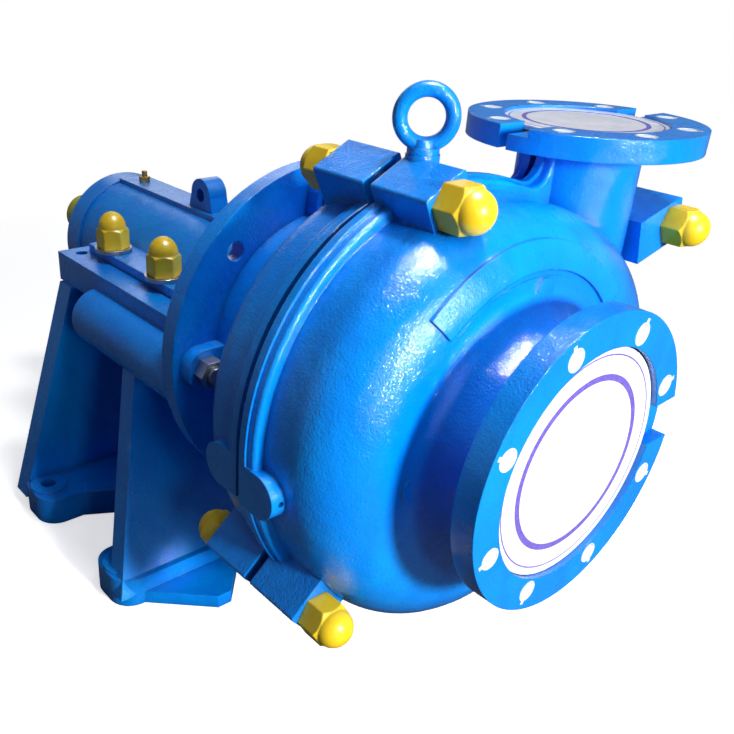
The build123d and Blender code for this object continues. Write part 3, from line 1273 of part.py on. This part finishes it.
with BuildPart() as ring_nuts:
    with BuildSketch(across(ear_front)):
        with PolarLocations(RING_HOLE_CIRCLE, HUB_EAR_COUNT):
            RegularPolygon(RING_NUT_ACROSS / 2, 6, major_radius=False)
            Circle(RING_STUD_RADIUS + FIT, mode=Mode.SUBTRACT)
    extrude(amount=RING_NUT_HEIGHT)

with BuildPart() as eye_bolt:
    ring_plane = Plane(
        origin=(EYE_X, EYE_Y, SHAFT_HEIGHT + EYE_CENTRE),
        x_dir=(sin(radians(EYE_TURN)), cos(radians(EYE_TURN)), 0),
        z_dir=(cos(radians(EYE_TURN)), -sin(radians(EYE_TURN)), 0),
    )
    with Locations(ring_plane):
        Torus(EYE_RING_RADIUS, EYE_BAR_RADIUS)
    with BuildSketch(level(EYE_BOSS_TOP)):
        with Locations((EYE_X, EYE_Y)):
            Circle(EYE_COLLAR_RADIUS)
    extrude(amount=EYE_COLLAR_THICK)
    with BuildSketch(level(EYE_BOSS_TOP + EYE_COLLAR_THICK)):
        with Locations((EYE_X, EYE_Y)):
            Circle(EYE_NECK_RADIUS)
    extrude(amount=EYE_BAR_RADIUS, taper=EYE_NECK_TAPER)
    with BuildSketch(level(EYE_BOSS_TOP)):
        with Locations((EYE_X, EYE_Y)):
            Circle(EYE_SHANK_RADIUS)
    extrude(amount=-EYE_SHANK_LENGTH)

with BuildPart() as suction_joint_ring:
    with BuildSketch(across(SUCTION_SEAT)):
        Circle(SUCTION_RECESS_RADIUS - RUNNING)
        Circle(THROAT_BORE, mode=Mode.SUBTRACT)
    extrude(amount=JOINT_RING_THICK)

with BuildPart() as discharge_joint_ring:
    with BuildSketch(level(DISCHARGE_SEAT)):
        with Locations((DISCHARGE_X, DISCHARGE_Y)):
            Circle(DISCHARGE_RECESS_RADIUS - RUNNING)
            Circle(DISCHARGE_BORE, mode=Mode.SUBTRACT)
    extrude(amount=JOINT_RING_THICK)

with BuildPart() as suction_cover:
    with BuildSketch(across(SUCTION_SEAT + JOINT_RING_THICK)):
        Circle(SUCTION_RECESS_RADIUS - LOOSE)
    extrude(amount=COVER_THICK)
    fillet(suction_cover.faces().sort_by(Axis.X)[-1].edges(), COVER_EDGE)

with BuildPart() as discharge_cover:
    with BuildSketch(level(DISCHARGE_SEAT + JOINT_RING_THICK)):
        with Locations((DISCHARGE_X, DISCHARGE_Y)):
            Circle(DISCHARGE_RECESS_RADIUS - LOOSE)
    extrude(amount=COVER_THICK)
    fillet(discharge_cover.faces().sort_by(Axis.Z)[-1].edges(), COVER_EDGE)

PIECES = {
    "base": base,
    "frame_plate": frame_plate,
    "cover_plate": cover_plate,
    "frame_plate_liner": frame_plate_liner,
    "cover_plate_liner": cover_plate_liner,
    "back_liner": back_liner,
    "throat_bush": throat_bush,
    "stuffing_box": stuffing_box,
    "stuffing_box_screws": stuffing_box_screws,
    "gland_packing": gland_packing,
    "lantern_ring": lantern_ring,
    "gland": gland,
    "gland_studs": gland_studs,
    "gland_nuts": gland_nuts,
    "casing_studs": casing_studs,
    "casing_nuts": casing_nuts,
    "front_nut_caps": front_nut_caps,
    "rear_nut_caps": rear_nut_caps,
    "ring_studs": ring_studs,
    "ring_nuts": ring_nuts,
    "clamp_studs": clamp_studs,
    "clamp_washers": clamp_washers,
    "clamp_nuts": clamp_nuts,
    "clamp_nut_caps": clamp_nut_caps,
    "adjusting_screw": adjusting_screw,
    "adjusting_nuts": adjusting_nuts,
    "eye_bolt": eye_bolt,
    "suction_joint_ring": suction_joint_ring,
    "discharge_joint_ring": discharge_joint_ring,
    "suction_cover": suction_cover,
    "discharge_cover": discharge_cover,
    "bearing_housing": bearing_housing,
    "grease_nipples": grease_nipples,
    "shaft": shaft,
    "drive_key": drive_key,
    "shaft_spacer": shaft_spacer,
    "shaft_sleeve": shaft_sleeve,
    "impeller": impeller,
    **end_covers,
    **rotating,
}
for name, piece in PIECES.items():
    piece.part.label = name
    export_step(piece.part, f"parts/{name}.step")
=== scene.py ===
import json
from math import cos, pi, radians, sin

import bmesh
import bpy
from mathutils import Matrix, Vector


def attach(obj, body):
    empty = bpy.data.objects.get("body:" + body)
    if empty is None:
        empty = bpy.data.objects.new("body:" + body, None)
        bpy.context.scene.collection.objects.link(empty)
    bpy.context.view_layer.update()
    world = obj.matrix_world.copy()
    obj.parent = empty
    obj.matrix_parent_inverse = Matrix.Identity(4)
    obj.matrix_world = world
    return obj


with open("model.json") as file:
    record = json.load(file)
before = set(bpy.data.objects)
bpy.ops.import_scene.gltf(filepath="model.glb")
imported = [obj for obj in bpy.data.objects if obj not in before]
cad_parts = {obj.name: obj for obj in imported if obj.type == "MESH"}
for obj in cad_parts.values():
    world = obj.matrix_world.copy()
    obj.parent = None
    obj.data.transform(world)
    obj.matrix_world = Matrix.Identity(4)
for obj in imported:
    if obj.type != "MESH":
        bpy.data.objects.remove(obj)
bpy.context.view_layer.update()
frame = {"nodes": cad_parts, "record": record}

# All lengths are metres in the frame of the CAD model: +X towards the suction, +Z up.
SHAFT_HEIGHT = 0.335

# Camera, solved from the round flanges and bolts of the photograph
CAMERA_PLACE = (0.9159, -0.6389, 0.7406)
CAMERA_AZIMUTH = 49.3
CAMERA_ELEVATION = 27.8
CAMERA_ROLL = 2.9
LENS = 41.53
SENSOR = 36.0
SHIFT = (0.0866, 0.0526)

# White surroundings: strength and tint as a light, and strength in reflections
AMBIENT = 0.05
REFLECTED = 0.18
SKY_TINT = (0.6, 0.8, 1.3, 1.0)
SUN_TINT = (1.0, 0.99, 0.95)

# Floor: tone (0 to 255) as the pump sees it, glow to the camera, and the circle where it fades out
FLOOR_HALF = 3.0
FLOOR_DROP = 0.0005
FLOOR_BOUNCE = 70
FLOOR_LIFT = 0.6
FLOOR_MIDDLE = (0.15, 0.0, 0.0)
FLOOR_SOLID = 0.75
FLOOR_GONE = 1.9

# Flanges: centre of the face, two directions in the face and the radius of the hole circle
FLANGE_HOLES = 8
SUCTION_CENTRE = (0.575, 0.0, SHAFT_HEIGHT)
DISCHARGE_CENTRE = (0.370, 0.216, SHAFT_HEIGHT + 0.266)
SUCTION_FLANGE = (SUCTION_CENTRE, (0, 1, 0), (0, 0, 1), 0.132)
DISCHARGE_FLANGE = (DISCHARGE_CENTRE, (1, 0, 0), (0, 1, 0), 0.105)
FILM_RADIUS = 0.0112
FILM_DISC = 0.0088
FILM_THICK = 0.0004
FILM_TAB = 0.0150
FILM_TAB_HALF = 0.0024
FILM_EDGES = 48
FACE_DEPTH = 0.0005

# Purple rings on the boards: inner and outer radius
SUCTION_RINGS = [(0.0840, 0.0905), (0.1085, 0.1100)]
DISCHARGE_RINGS = [(0.0635, 0.0685), (0.0815, 0.0828)]

WHITE = (1.0, 1.0, 1.0, 1.0)

# Lamps: name, place, what it points at, width, height, watts, tint, seen in gloss alone
LAMPS = [
    ("key", (3.0, 0.1, 1.1), (0.3, 0, 0.35), 0.4, 0.4, 112, SUN_TINT, False),
    ("front", (2.8, -0.9, 1.1), (0.3, 0, 0.35), 0.4, 0.4, 8, SUN_TINT, False),
    ("window", (0.52, 0.2, 2.0), (0.38, 0, 0.5), 0.3, 0.3, 16, WHITE[:3], False),
    ("glint", (0.5, 0.15, 2.0), (0.38, 0, 0.5), 0.34, 0.24, 55, WHITE[:3], True),
    ("fill", (-0.7, -2.3, 0.9), (0.1, 0, 0.3), 1.4, 1.0, 1.2, WHITE[:3], False),
    ("floor_wash", (0.0, 0.0, 4.2), (0.0, 0, 0), 3.0, 3.0, 18, WHITE[:3], False),
    ("rear", (-1.6, 0.9, 1.3), (0, 0, 0.3), 0.9, 0.9, 4, WHITE[:3], False),
]


# Shader helpers

def linear(red, green, blue):
    """Linear colour from the 0 to 255 values seen in a picture."""
    values = []
    for value in (red, green, blue):
        part = value / 255
        values.append(part / 12.92 if part <= 0.04045 else ((part + 0.055) / 1.055) ** 2.4)
    return (*values, 1.0)


class Shader:
    """A node material that is put together one node at a time."""

    def __init__(self, name):
        self.material = bpy.data.materials.new(name)
        self.material.use_nodes = True
        self.tree = self.material.node_tree
        self.surface = self.tree.nodes["Principled BSDF"]

    def node(self, kind, settings=None, **inputs):
        """New node; settings are its own options, inputs are sockets by name, as values or outputs."""
        made = self.tree.nodes.new(kind)
        for option, value in (settings or {}).items():
            setattr(made, option, value)
        for socket, value in inputs.items():
            self.put(made, socket.replace("_", " "), value)
        return made

    def put(self, node, socket, value):
        """Sets a socket to a number or colour, or joins it to another node's output."""
        target = node.inputs[int(socket)] if socket.isdigit() else node.inputs[socket]
        if isinstance(value, bpy.types.NodeSocket):
            self.tree.links.new(value, target)
        else:
            target.default_value = value

    def math(self, operation, first, second=0.0, clamp=False):
        """Arithmetic on two values or outputs."""
        made = self.tree.nodes.new("ShaderNodeMath")
        made.operation = operation
        made.use_clamp = clamp
        self.put(made, "0", first)
        self.put(made, "1", second)
        return made.outputs[0]

    def vector(self, operation, first, second=(0, 0, 0)):
        """Vector arithmetic; a dot product or a length gives a value, the others a vector."""
        made = self.node("ShaderNodeVectorMath", {"operation": operation}, **{"0": first, "1": second})
        return made.outputs["Value" if operation in ("DOT_PRODUCT", "LENGTH") else "Vector"]

    def reach(self, first, second):
        """Length of the hypotenuse over two values."""
        squares = self.math("ADD", self.math("POWER", first, 2), self.math("POWER", second, 2))
        return self.math("SQRT", squares)

    def spot(self, place):
        """Coordinates of the surface in metres, times the three factors of place."""
        coordinates = self.node("ShaderNodeTexCoord").outputs["Object"]
        return self.vector("MULTIPLY", coordinates, place)

    def noise(self, scale, detail=3.0, roughness=0.5, stretch=(1, 1, 1)):
        """Noise with scale features to the metre."""
        texture = self.node(
            "ShaderNodeTexNoise", Vector=self.spot(stretch), Scale=scale, Detail=detail, Roughness=roughness
        )
        return texture.outputs[0]

    def cells(self, scale, feature="F1"):
        """Distance to the nearest of scattered points, scale of them to the metre."""
        place = self.spot((1, 1, 1))
        texture = self.node("ShaderNodeTexVoronoi", {"feature": feature}, Vector=place, Scale=scale)
        return texture.outputs["Distance"]

    def span(self, value, low, high, start=0.0, end=1.0):
        """Maps low..high of a value to start..end, clamped."""
        mapped = self.node("ShaderNodeMapRange", **{"0": value, "1": low, "2": high, "3": start, "4": end})
        return mapped.outputs[0]

    def mix(self, factor, first, second):
        """Blend of two colours."""
        mixed = self.node("ShaderNodeMix", {"data_type": "RGBA"}, **{"0": factor, "6": first, "7": second})
        return mixed.outputs[2]

    def rounded(self, radius):
        """Normal that rounds edges by a radius in metres."""
        return self.node("ShaderNodeBevel", {"samples": 4}, Radius=radius).outputs[0]

    def edges(self, rounded_normal):
        """1 along sharp edges, 0 on open faces."""
        flat = self.node("ShaderNodeNewGeometry").outputs["Normal"]
        return self.span(self.vector("DOT_PRODUCT", rounded_normal, flat), 0.99, 0.86)

    def corner_shade(self, distance):
        """Mask for painted shade: 1 in corners and gaps, 0 on open faces."""
        open_sky = self.node("ShaderNodeAmbientOcclusion", {"samples": 4}, Distance=distance).outputs["AO"]
        return self.span(open_sky, 0.85, 0.35)

    def bump(self, height, distance, normal=None, strength=1.0):
        """Normal of a surface raised by a height field, times a distance in metres."""
        made = self.node("ShaderNodeBump", Height=height, Distance=distance, Strength=strength)
        if normal is not None:
            self.put(made, "Normal", normal)
        return made.outputs[0]

    def finish(self, **values):
        """Sets the sockets of the surface and returns the material."""
        for socket, value in values.items():
            self.put(self.surface, socket.replace("_", " "), value)
        return self.material


# Materials

def film_mask(shader, centre, across, up, circle):
    """1 on the film round the flange holes: a round patch and a pull tab that points outwards."""
    offset = shader.vector("SUBTRACT", shader.spot((1, 1, 1)), centre)
    sides = []
    for direction in (across, up, Vector(across).cross(Vector(up))):
        sides.append(shader.vector("DOT_PRODUCT", offset, direction))
    radius = shader.reach(sides[0], sides[1])
    step = 2 * pi / FLANGE_HOLES
    turned = shader.math("FLOORED_MODULO", shader.math("ARCTAN2", sides[1], sides[0]), step)
    turned = shader.math("SUBTRACT", turned, step / 2)
    outwards = shader.math("SUBTRACT", shader.math("MULTIPLY", radius, shader.math("COSINE", turned)), circle)
    sideways = shader.math("MULTIPLY", radius, shader.math("SINE", turned))
    reach = shader.reach(outwards, sideways)
    patch = shader.math("LESS_THAN", reach, FILM_RADIUS)
    narrow = shader.math("LESS_THAN", shader.math("ABSOLUTE", sideways), FILM_TAB_HALF)
    from_middle = shader.math("ABSOLUTE", shader.math("SUBTRACT", outwards, FILM_TAB / 2))
    tab = shader.math("MULTIPLY", narrow, shader.math("LESS_THAN", from_middle, FILM_TAB / 2))
    on_face = shader.math("LESS_THAN", shader.math("ABSOLUTE", sides[2]), FACE_DEPTH)
    return shader.math("MULTIPLY", shader.math("MAXIMUM", patch, tab), on_face)


def blue_enamel(name="blue_enamel", flanges=()):
    """Thick gloss enamel over rough castings; edges lighter as wear and as a painted highlight, corners
    darker as painted shade.
    """
    paint = Shader(name)
    rounded = paint.rounded(0.0022)
    edges = paint.edges(rounded)
    clouds = paint.span(paint.noise(9, 4), 0.35, 0.68)
    colour = paint.mix(clouds, linear(0, 138, 252), linear(0, 154, 255))
    runs = paint.span(paint.noise(26, 5, 0.6, (1, 1, 0.3)), 0.45, 0.75, 0.0, 0.4)
    colour = paint.mix(runs, colour, linear(0, 108, 226))
    # Painted shade: a darker blue in corners and gaps.
    colour = paint.mix(paint.math("MULTIPLY", paint.corner_shade(0.018), 0.6), colour, linear(2, 50, 126))
    # Lighter blue along the edges: partly paint wear, partly a painted highlight.
    edge_wear_and_highlight = paint.math("MULTIPLY", edges, paint.span(paint.noise(150, 5, 0.65), 0.52, 0.66))
    colour = paint.mix(paint.math("MULTIPLY", edge_wear_and_highlight, 0.5), colour, linear(70, 190, 246))
    for centre, across, up, circle in flanges:
        colour = paint.mix(film_mask(paint, centre, across, up, circle), colour, linear(236, 240, 244))
    cast = paint.bump(paint.noise(55, 3, 0.5), 0.0011, rounded)
    grain = paint.bump(paint.noise(420, 2, 0.55), 0.0006, cast)
    pits = paint.bump(paint.span(paint.cells(120), 0.0, 0.12), 0.0004, grain)
    peel = paint.bump(paint.noise(640, 1, 0.5), 0.0006, cast)
    gloss = paint.span(paint.noise(40, 4), 0.3, 0.7, 0.24, 0.36)
    return paint.finish(
        Base_Color=colour, Roughness=gloss, Normal=pits,
        Specular_IOR_Level=0.25, Specular_Tint=(0.3, 0.55, 1.0, 1.0),
        Coat_Weight=1.0, Coat_Roughness=0.02, Coat_Normal=peel,
    )


def yellow_cap():
    """Moulded plastic, a little see-through, with scuffs on its corners."""
    plastic = Shader("yellow_cap")
    rounded = plastic.rounded(0.0025)
    edges = plastic.edges(rounded)
    tint = plastic.span(plastic.noise(60, 3), 0.3, 0.7)
    colour = plastic.mix(tint, linear(255, 206, 22), linear(255, 222, 48))
    scuffs = plastic.span(plastic.noise(900, 3, 0.6, (0.15, 1, 1)), 0.56, 0.68)
    # Painted shade: deeper orange-yellow in corners and gaps.
    colour = plastic.mix(plastic.math("MULTIPLY", plastic.corner_shade(0.01), 0.5), colour, linear(196, 132, 8))
    colour = plastic.mix(plastic.math("MULTIPLY", edges, 0.35), colour, linear(250, 232, 130))
    grain = plastic.bump(plastic.noise(1400, 2), 0.00004, rounded)
    return plastic.finish(
        Base_Color=colour, Roughness=plastic.math("ADD", plastic.math("MULTIPLY", scuffs, 0.15), 0.33),
        Normal=grain, Subsurface_Weight=0.12, Subsurface_Scale=0.004,
    )


def anti_rust_shaft():
    """Turned steel under a brushed-on yellow coat."""
    coat = Shader("anti_rust_shaft")
    rounded = coat.rounded(0.0012)
    rings = coat.noise(900, 2, 0.5, (1, 0.01, 0.01))
    streaks = coat.span(coat.noise(40, 4, 0.6, (0.2, 1, 1)), 0.3, 0.72)
    colour = coat.mix(streaks, linear(186, 182, 34), linear(224, 214, 70))
    thin = coat.span(coat.noise(24, 5, 0.65), 0.58, 0.7)
    colour = coat.mix(coat.math("MULTIPLY", thin, 0.55), colour, linear(150, 146, 96))
    surface = coat.bump(rings, 0.00009, rounded)
    surface = coat.bump(coat.noise(160, 3), 0.00012, surface)
    return coat.finish(
        Base_Color=colour, Metallic=0.25, Roughness=coat.span(streaks, 0, 1, 0.3, 0.48), Normal=surface,
    )


def turned_steel(name, tone, roughness):
    """Steel with the fine rings that turning leaves, a few stains and bright edges."""
    steel = Shader(name)
    rounded = steel.rounded(0.0008)
    stains = steel.span(steel.noise(35, 5, 0.62), 0.5, 0.72, 0.0, 0.5)
    shade = linear(tone, tone + 2, tone + 6)
    dark = linear(tone * 0.62, tone * 0.6, tone * 0.58)
    colour = steel.mix(stains, shade, dark)
    # Painted shade: near-black in corners and gaps.
    colour = steel.mix(steel.math("MULTIPLY", steel.corner_shade(0.008), 0.7), colour, linear(40, 38, 36))
    colour = steel.mix(steel.math("MULTIPLY", steel.edges(rounded), 0.5), colour, linear(225, 228, 232))
    rings = steel.bump(steel.noise(1300, 2, 0.5, (1, 0.02, 0.02)), 0.00003, rounded)
    dulled = steel.math("ADD", steel.math("MULTIPLY", stains, 0.25), roughness)
    return steel.finish(Base_Color=colour, Metallic=1.0, Roughness=dulled, Normal=rings)


def hard_iron():
    """Dark as-cast iron with a sandy skin and traces of rust."""
    iron = Shader("hard_iron")
    rounded = iron.rounded(0.0015)
    rust = iron.span(iron.noise(55, 6, 0.68), 0.55, 0.74)
    colour = iron.mix(rust, linear(92, 92, 96), linear(112, 74, 50))
    # Painted shade: near-black in corners and gaps.
    colour = iron.mix(iron.math("MULTIPLY", iron.corner_shade(0.01), 0.6), colour, linear(36, 32, 30))
    sand = iron.bump(iron.noise(420, 4, 0.6), 0.00025, rounded)
    sand = iron.bump(iron.noise(70, 2), 0.0006, sand)
    bare = iron.math("SUBTRACT", 0.8, rust)
    rough = iron.span(rust, 0, 1, 0.45, 0.8)
    return iron.finish(Base_Color=colour, Metallic=bare, Roughness=rough, Normal=sand)


def black_rubber():
    """Matt black rubber with dust and a moulded skin."""
    rubber = Shader("black_rubber")
    rounded = rubber.rounded(0.001)
    dust = rubber.span(rubber.noise(80, 5, 0.65), 0.45, 0.75, 0.0, 0.5)
    colour = rubber.mix(dust, linear(28, 28, 30), linear(74, 72, 68))
    skin = rubber.bump(rubber.noise(800, 3), 0.00006, rounded)
    return rubber.finish(
        Base_Color=colour, Roughness=rubber.span(dust, 0, 0.5, 0.5, 0.78), Normal=skin, Sheen_Weight=0.15,
    )


def grey_packing():
    """Greased braid: a diagonal weave of flat strands."""
    braid = Shader("grey_packing")
    place = braid.spot((1, 1, 1))
    weave = braid.node(
        "ShaderNodeTexWave", {"bands_direction": "DIAGONAL"}, Vector=place, Scale=60.0, Distortion=2.0
    )
    colour = braid.mix(weave.outputs[1], linear(96, 90, 78), linear(176, 170, 154))
    strands = braid.bump(weave.outputs[1], 0.0006)
    return braid.finish(Base_Color=colour, Roughness=0.55, Normal=strands, Coat_Weight=0.3)


def brass():
    """Turned brass, dulled in patches."""
    metal = Shader("brass")
    rounded = metal.rounded(0.0006)
    dull = metal.span(metal.noise(120, 5, 0.6), 0.42, 0.7)
    colour = metal.mix(dull, linear(214, 176, 96), linear(140, 104, 52))
    rings = metal.bump(metal.noise(1500, 2, 0.5, (0.02, 0.02, 1)), 0.00002, rounded)
    rough = metal.span(dull, 0, 1, 0.22, 0.5)
    return metal.finish(Base_Color=colour, Metallic=1.0, Roughness=rough, Normal=rings)


def printed_board(name, centre, facing, rings):
    """Gloss white board with coloured rings; rings are inner and outer radius in metres."""
    board = Shader(name)
    offset = board.vector("SUBTRACT", board.spot((1, 1, 1)), centre)
    across = tuple(0.0 if along else 1.0 for along in facing)
    radius = board.vector("LENGTH", board.vector("MULTIPLY", offset, across))
    wobble = board.span(board.noise(700, 2), 0.3, 0.7, -0.00012, 0.00012)
    radius = board.math("ADD", radius, wobble)
    paper = board.span(board.noise(14, 4), 0.3, 0.7)
    colour = board.mix(paper, linear(232, 232, 238), linear(246, 246, 250))
    ink = board.mix(board.span(board.noise(400, 3), 0.35, 0.65), linear(106, 90, 192), linear(126, 110, 208))
    for inner, outer in rings:
        beyond = board.math("GREATER_THAN", radius, inner)
        inside = board.math("MULTIPLY", beyond, board.math("LESS_THAN", radius, outer))
        colour = board.mix(inside, colour, ink)
    smears = board.span(board.noise(30, 5, 0.6), 0.4, 0.7, 0.14, 0.3)
    surface = board.bump(board.noise(18, 2), 0.0006, board.rounded(0.0008))
    return board.finish(
        Base_Color=colour, Roughness=smears, Normal=surface, Coat_Weight=0.4, Coat_Roughness=0.08
    )


def white_film():
    """Thin white film over the flange holes."""
    film = Shader("white_film")
    tint = film.span(film.noise(90, 4), 0.3, 0.7)
    colour = film.mix(tint, linear(206, 226, 244), linear(244, 248, 252))
    creases = film.bump(film.noise(260, 3, 0.6), 0.0003)
    return film.finish(Base_Color=colour, Roughness=0.28, Normal=creases)


finishes = {
    "blue_enamel": blue_enamel(),
    "yellow_cap": yellow_cap(),
    "anti_rust_shaft": anti_rust_shaft(),
    "zinc_steel": turned_steel("zinc_steel", 176, 0.3),
    "machined_steel": turned_steel("machined_steel", 158, 0.22),
    "hard_iron": hard_iron(),
    "black_rubber": black_rubber(),
    "grey_packing": grey_packing(),
    "brass": brass(),
}
own_finishes = {
    "suction_cover": printed_board("suction_board", SUCTION_CENTRE, (1, 0, 0), SUCTION_RINGS),
    "discharge_cover": printed_board("discharge_board", DISCHARGE_CENTRE, (0, 0, 1), DISCHARGE_RINGS),
}
flange_enamel = blue_enamel("flange_enamel", (SUCTION_FLANGE, DISCHARGE_FLANGE))
own_finishes["cover_plate"] = own_finishes["frame_plate"] = flange_enamel
for subpart in frame["record"]["subparts"]:
    name = subpart["node"]
    material = own_finishes.get(name) or finishes[subpart["material_slot"]]
    node = frame["nodes"][name]
    for place in node.material_slots:
        place.material = material
    if not node.material_slots:
        node.data.materials.append(material)


# Transport film over the flange holes

def film_discs(name, flange, material):
    """One thin disc just inside the mouth of every hole of a flange."""
    centre, across, up, circle = flange
    outwards = Vector(across).cross(Vector(up))
    mesh = bpy.data.meshes.new(name)
    shape = bmesh.new()
    for index in range(FLANGE_HOLES):
        angle = (index + 0.5) * 2 * pi / FLANGE_HOLES
        middle = Vector(centre) + circle * (cos(angle) * Vector(across) + sin(angle) * Vector(up))
        turn = outwards.to_track_quat("Z", "Y").to_matrix().to_4x4()
        place = Matrix.Translation(middle - outwards * FILM_THICK) @ turn
        bmesh.ops.create_cone(
            shape, cap_ends=True, segments=FILM_EDGES, radius1=FILM_DISC, radius2=FILM_DISC,
            depth=FILM_THICK, matrix=place,
        )
    shape.to_mesh(mesh)
    shape.free()
    mesh.materials.append(material)
    discs = bpy.data.objects.new(name, mesh)
    bpy.context.collection.objects.link(discs)
    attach(discs, "frame")


film = white_film()
film_discs("suction_hole_films", SUCTION_FLANGE, film)
film_discs("discharge_hole_films", DISCHARGE_FLANGE, film)


# Floor, light and background

def floor():
    """A pale floor under the feet that fades into the white background."""
    mesh = bpy.data.meshes.new("floor")
    grid = bmesh.new()
    bmesh.ops.create_grid(grid, x_segments=1, y_segments=1, size=FLOOR_HALF)
    grid.to_mesh(mesh)
    grid.free()
    plane = bpy.data.objects.new("floor", mesh)
    plane.location.z = -FLOOR_DROP
    bpy.context.collection.objects.link(plane)
    pale = Shader("pale_floor")
    grain = pale.span(pale.noise(30, 4), 0.3, 0.7)
    seen = pale.mix(grain, linear(250, 250, 251), linear(253, 253, 254))
    looked_at = pale.node("ShaderNodeLightPath").outputs["Is Camera Ray"]
    colour = pale.mix(looked_at, linear(FLOOR_BOUNCE, FLOOR_BOUNCE, FLOOR_BOUNCE), seen)
    away = pale.vector("LENGTH", pale.vector("SUBTRACT", pale.spot((1, 1, 1)), FLOOR_MIDDLE))
    fade = pale.span(away, FLOOR_SOLID, FLOOR_GONE, 1.0, 0.0)
    lift = pale.math("MULTIPLY", looked_at, FLOOR_LIFT)
    mesh.materials.append(pale.finish(
        Base_Color=colour, Roughness=0.6, Specular_IOR_Level=0.1, Alpha=fade,
        Emission_Color=WHITE, Emission_Strength=lift,
    ))


def softbox(name, place, target, width, height, watts, tint, gloss_only):
    """Rectangular light at a place, turned towards a target; gloss_only leaves just its reflection."""
    light = bpy.data.lights.new(name, "AREA")
    light.shape = "RECTANGLE"
    light.size = width
    light.size_y = height
    light.energy = watts
    light.color = tint
    lamp = bpy.data.objects.new(name, light)
    lamp.location = place
    lamp.visible_diffuse = not gloss_only
    lamp.rotation_euler = (Vector(target) - Vector(place)).to_track_quat("-Z", "Y").to_euler()
    bpy.context.collection.objects.link(lamp)


def white_background():
    """White to the camera, softer and bluer as a light, and softer in reflections."""
    world = bpy.data.worlds.new("studio")
    world.use_nodes = True
    bpy.context.scene.world = world
    tree = world.node_tree
    path = tree.nodes.new("ShaderNodeLightPath")
    seen = tree.nodes.new("ShaderNodeMath")
    seen.operation = "MAXIMUM"
    tree.links.new(path.outputs["Is Camera Ray"], seen.inputs[0])
    tree.links.new(path.outputs["Is Transmission Ray"], seen.inputs[1])
    unseen = tree.nodes.new("ShaderNodeMapRange")
    tree.links.new(path.outputs["Is Glossy Ray"], unseen.inputs[0])
    unseen.inputs[3].default_value = AMBIENT
    unseen.inputs[4].default_value = REFLECTED
    strength = tree.nodes.new("ShaderNodeMapRange")
    tree.links.new(seen.outputs[0], strength.inputs[0])
    tree.links.new(unseen.outputs[0], strength.inputs[3])
    strength.inputs[4].default_value = 1.0
    tree.links.new(strength.outputs[0], tree.nodes["Background"].inputs["Strength"])
    tint = tree.nodes.new("ShaderNodeMix")
    tint.data_type = "RGBA"
    tree.links.new(seen.outputs[0], tint.inputs[0])
    tint.inputs[6].default_value = SKY_TINT
    tint.inputs[7].default_value = WHITE
    tree.links.new(tint.outputs[2], tree.nodes["Background"].inputs["Color"])


def camera():
    """The photograph's camera: place, turn about the line of sight, lens and shift."""
    azimuth = radians(CAMERA_AZIMUTH)
    elevation = radians(CAMERA_ELEVATION)
    roll = radians(CAMERA_ROLL)
    back = Vector((sin(azimuth) * cos(elevation), -cos(azimuth) * cos(elevation), sin(elevation)))
    right = Vector((0, 0, 1)).cross(back).normalized()
    up = back.cross(right)
    turned_right = cos(roll) * right + sin(roll) * up
    turned_up = cos(roll) * up - sin(roll) * right
    data = bpy.data.cameras.new("camera")
    data.lens = LENS
    data.sensor_width = SENSOR
    data.shift_x, data.shift_y = SHIFT
    data.clip_start = 0.01
    eye = bpy.data.objects.new("camera", data)
    turn = Matrix((turned_right, turned_up, back)).transposed()
    eye.matrix_world = Matrix.Translation(CAMERA_PLACE) @ turn.to_4x4()
    bpy.context.collection.objects.link(eye)
    bpy.context.scene.camera = eye


floor()
white_background()
camera()
for lamp_row in LAMPS:
    softbox(*lamp_row)
bpy.context.scene.view_settings.view_transform = "Standard"
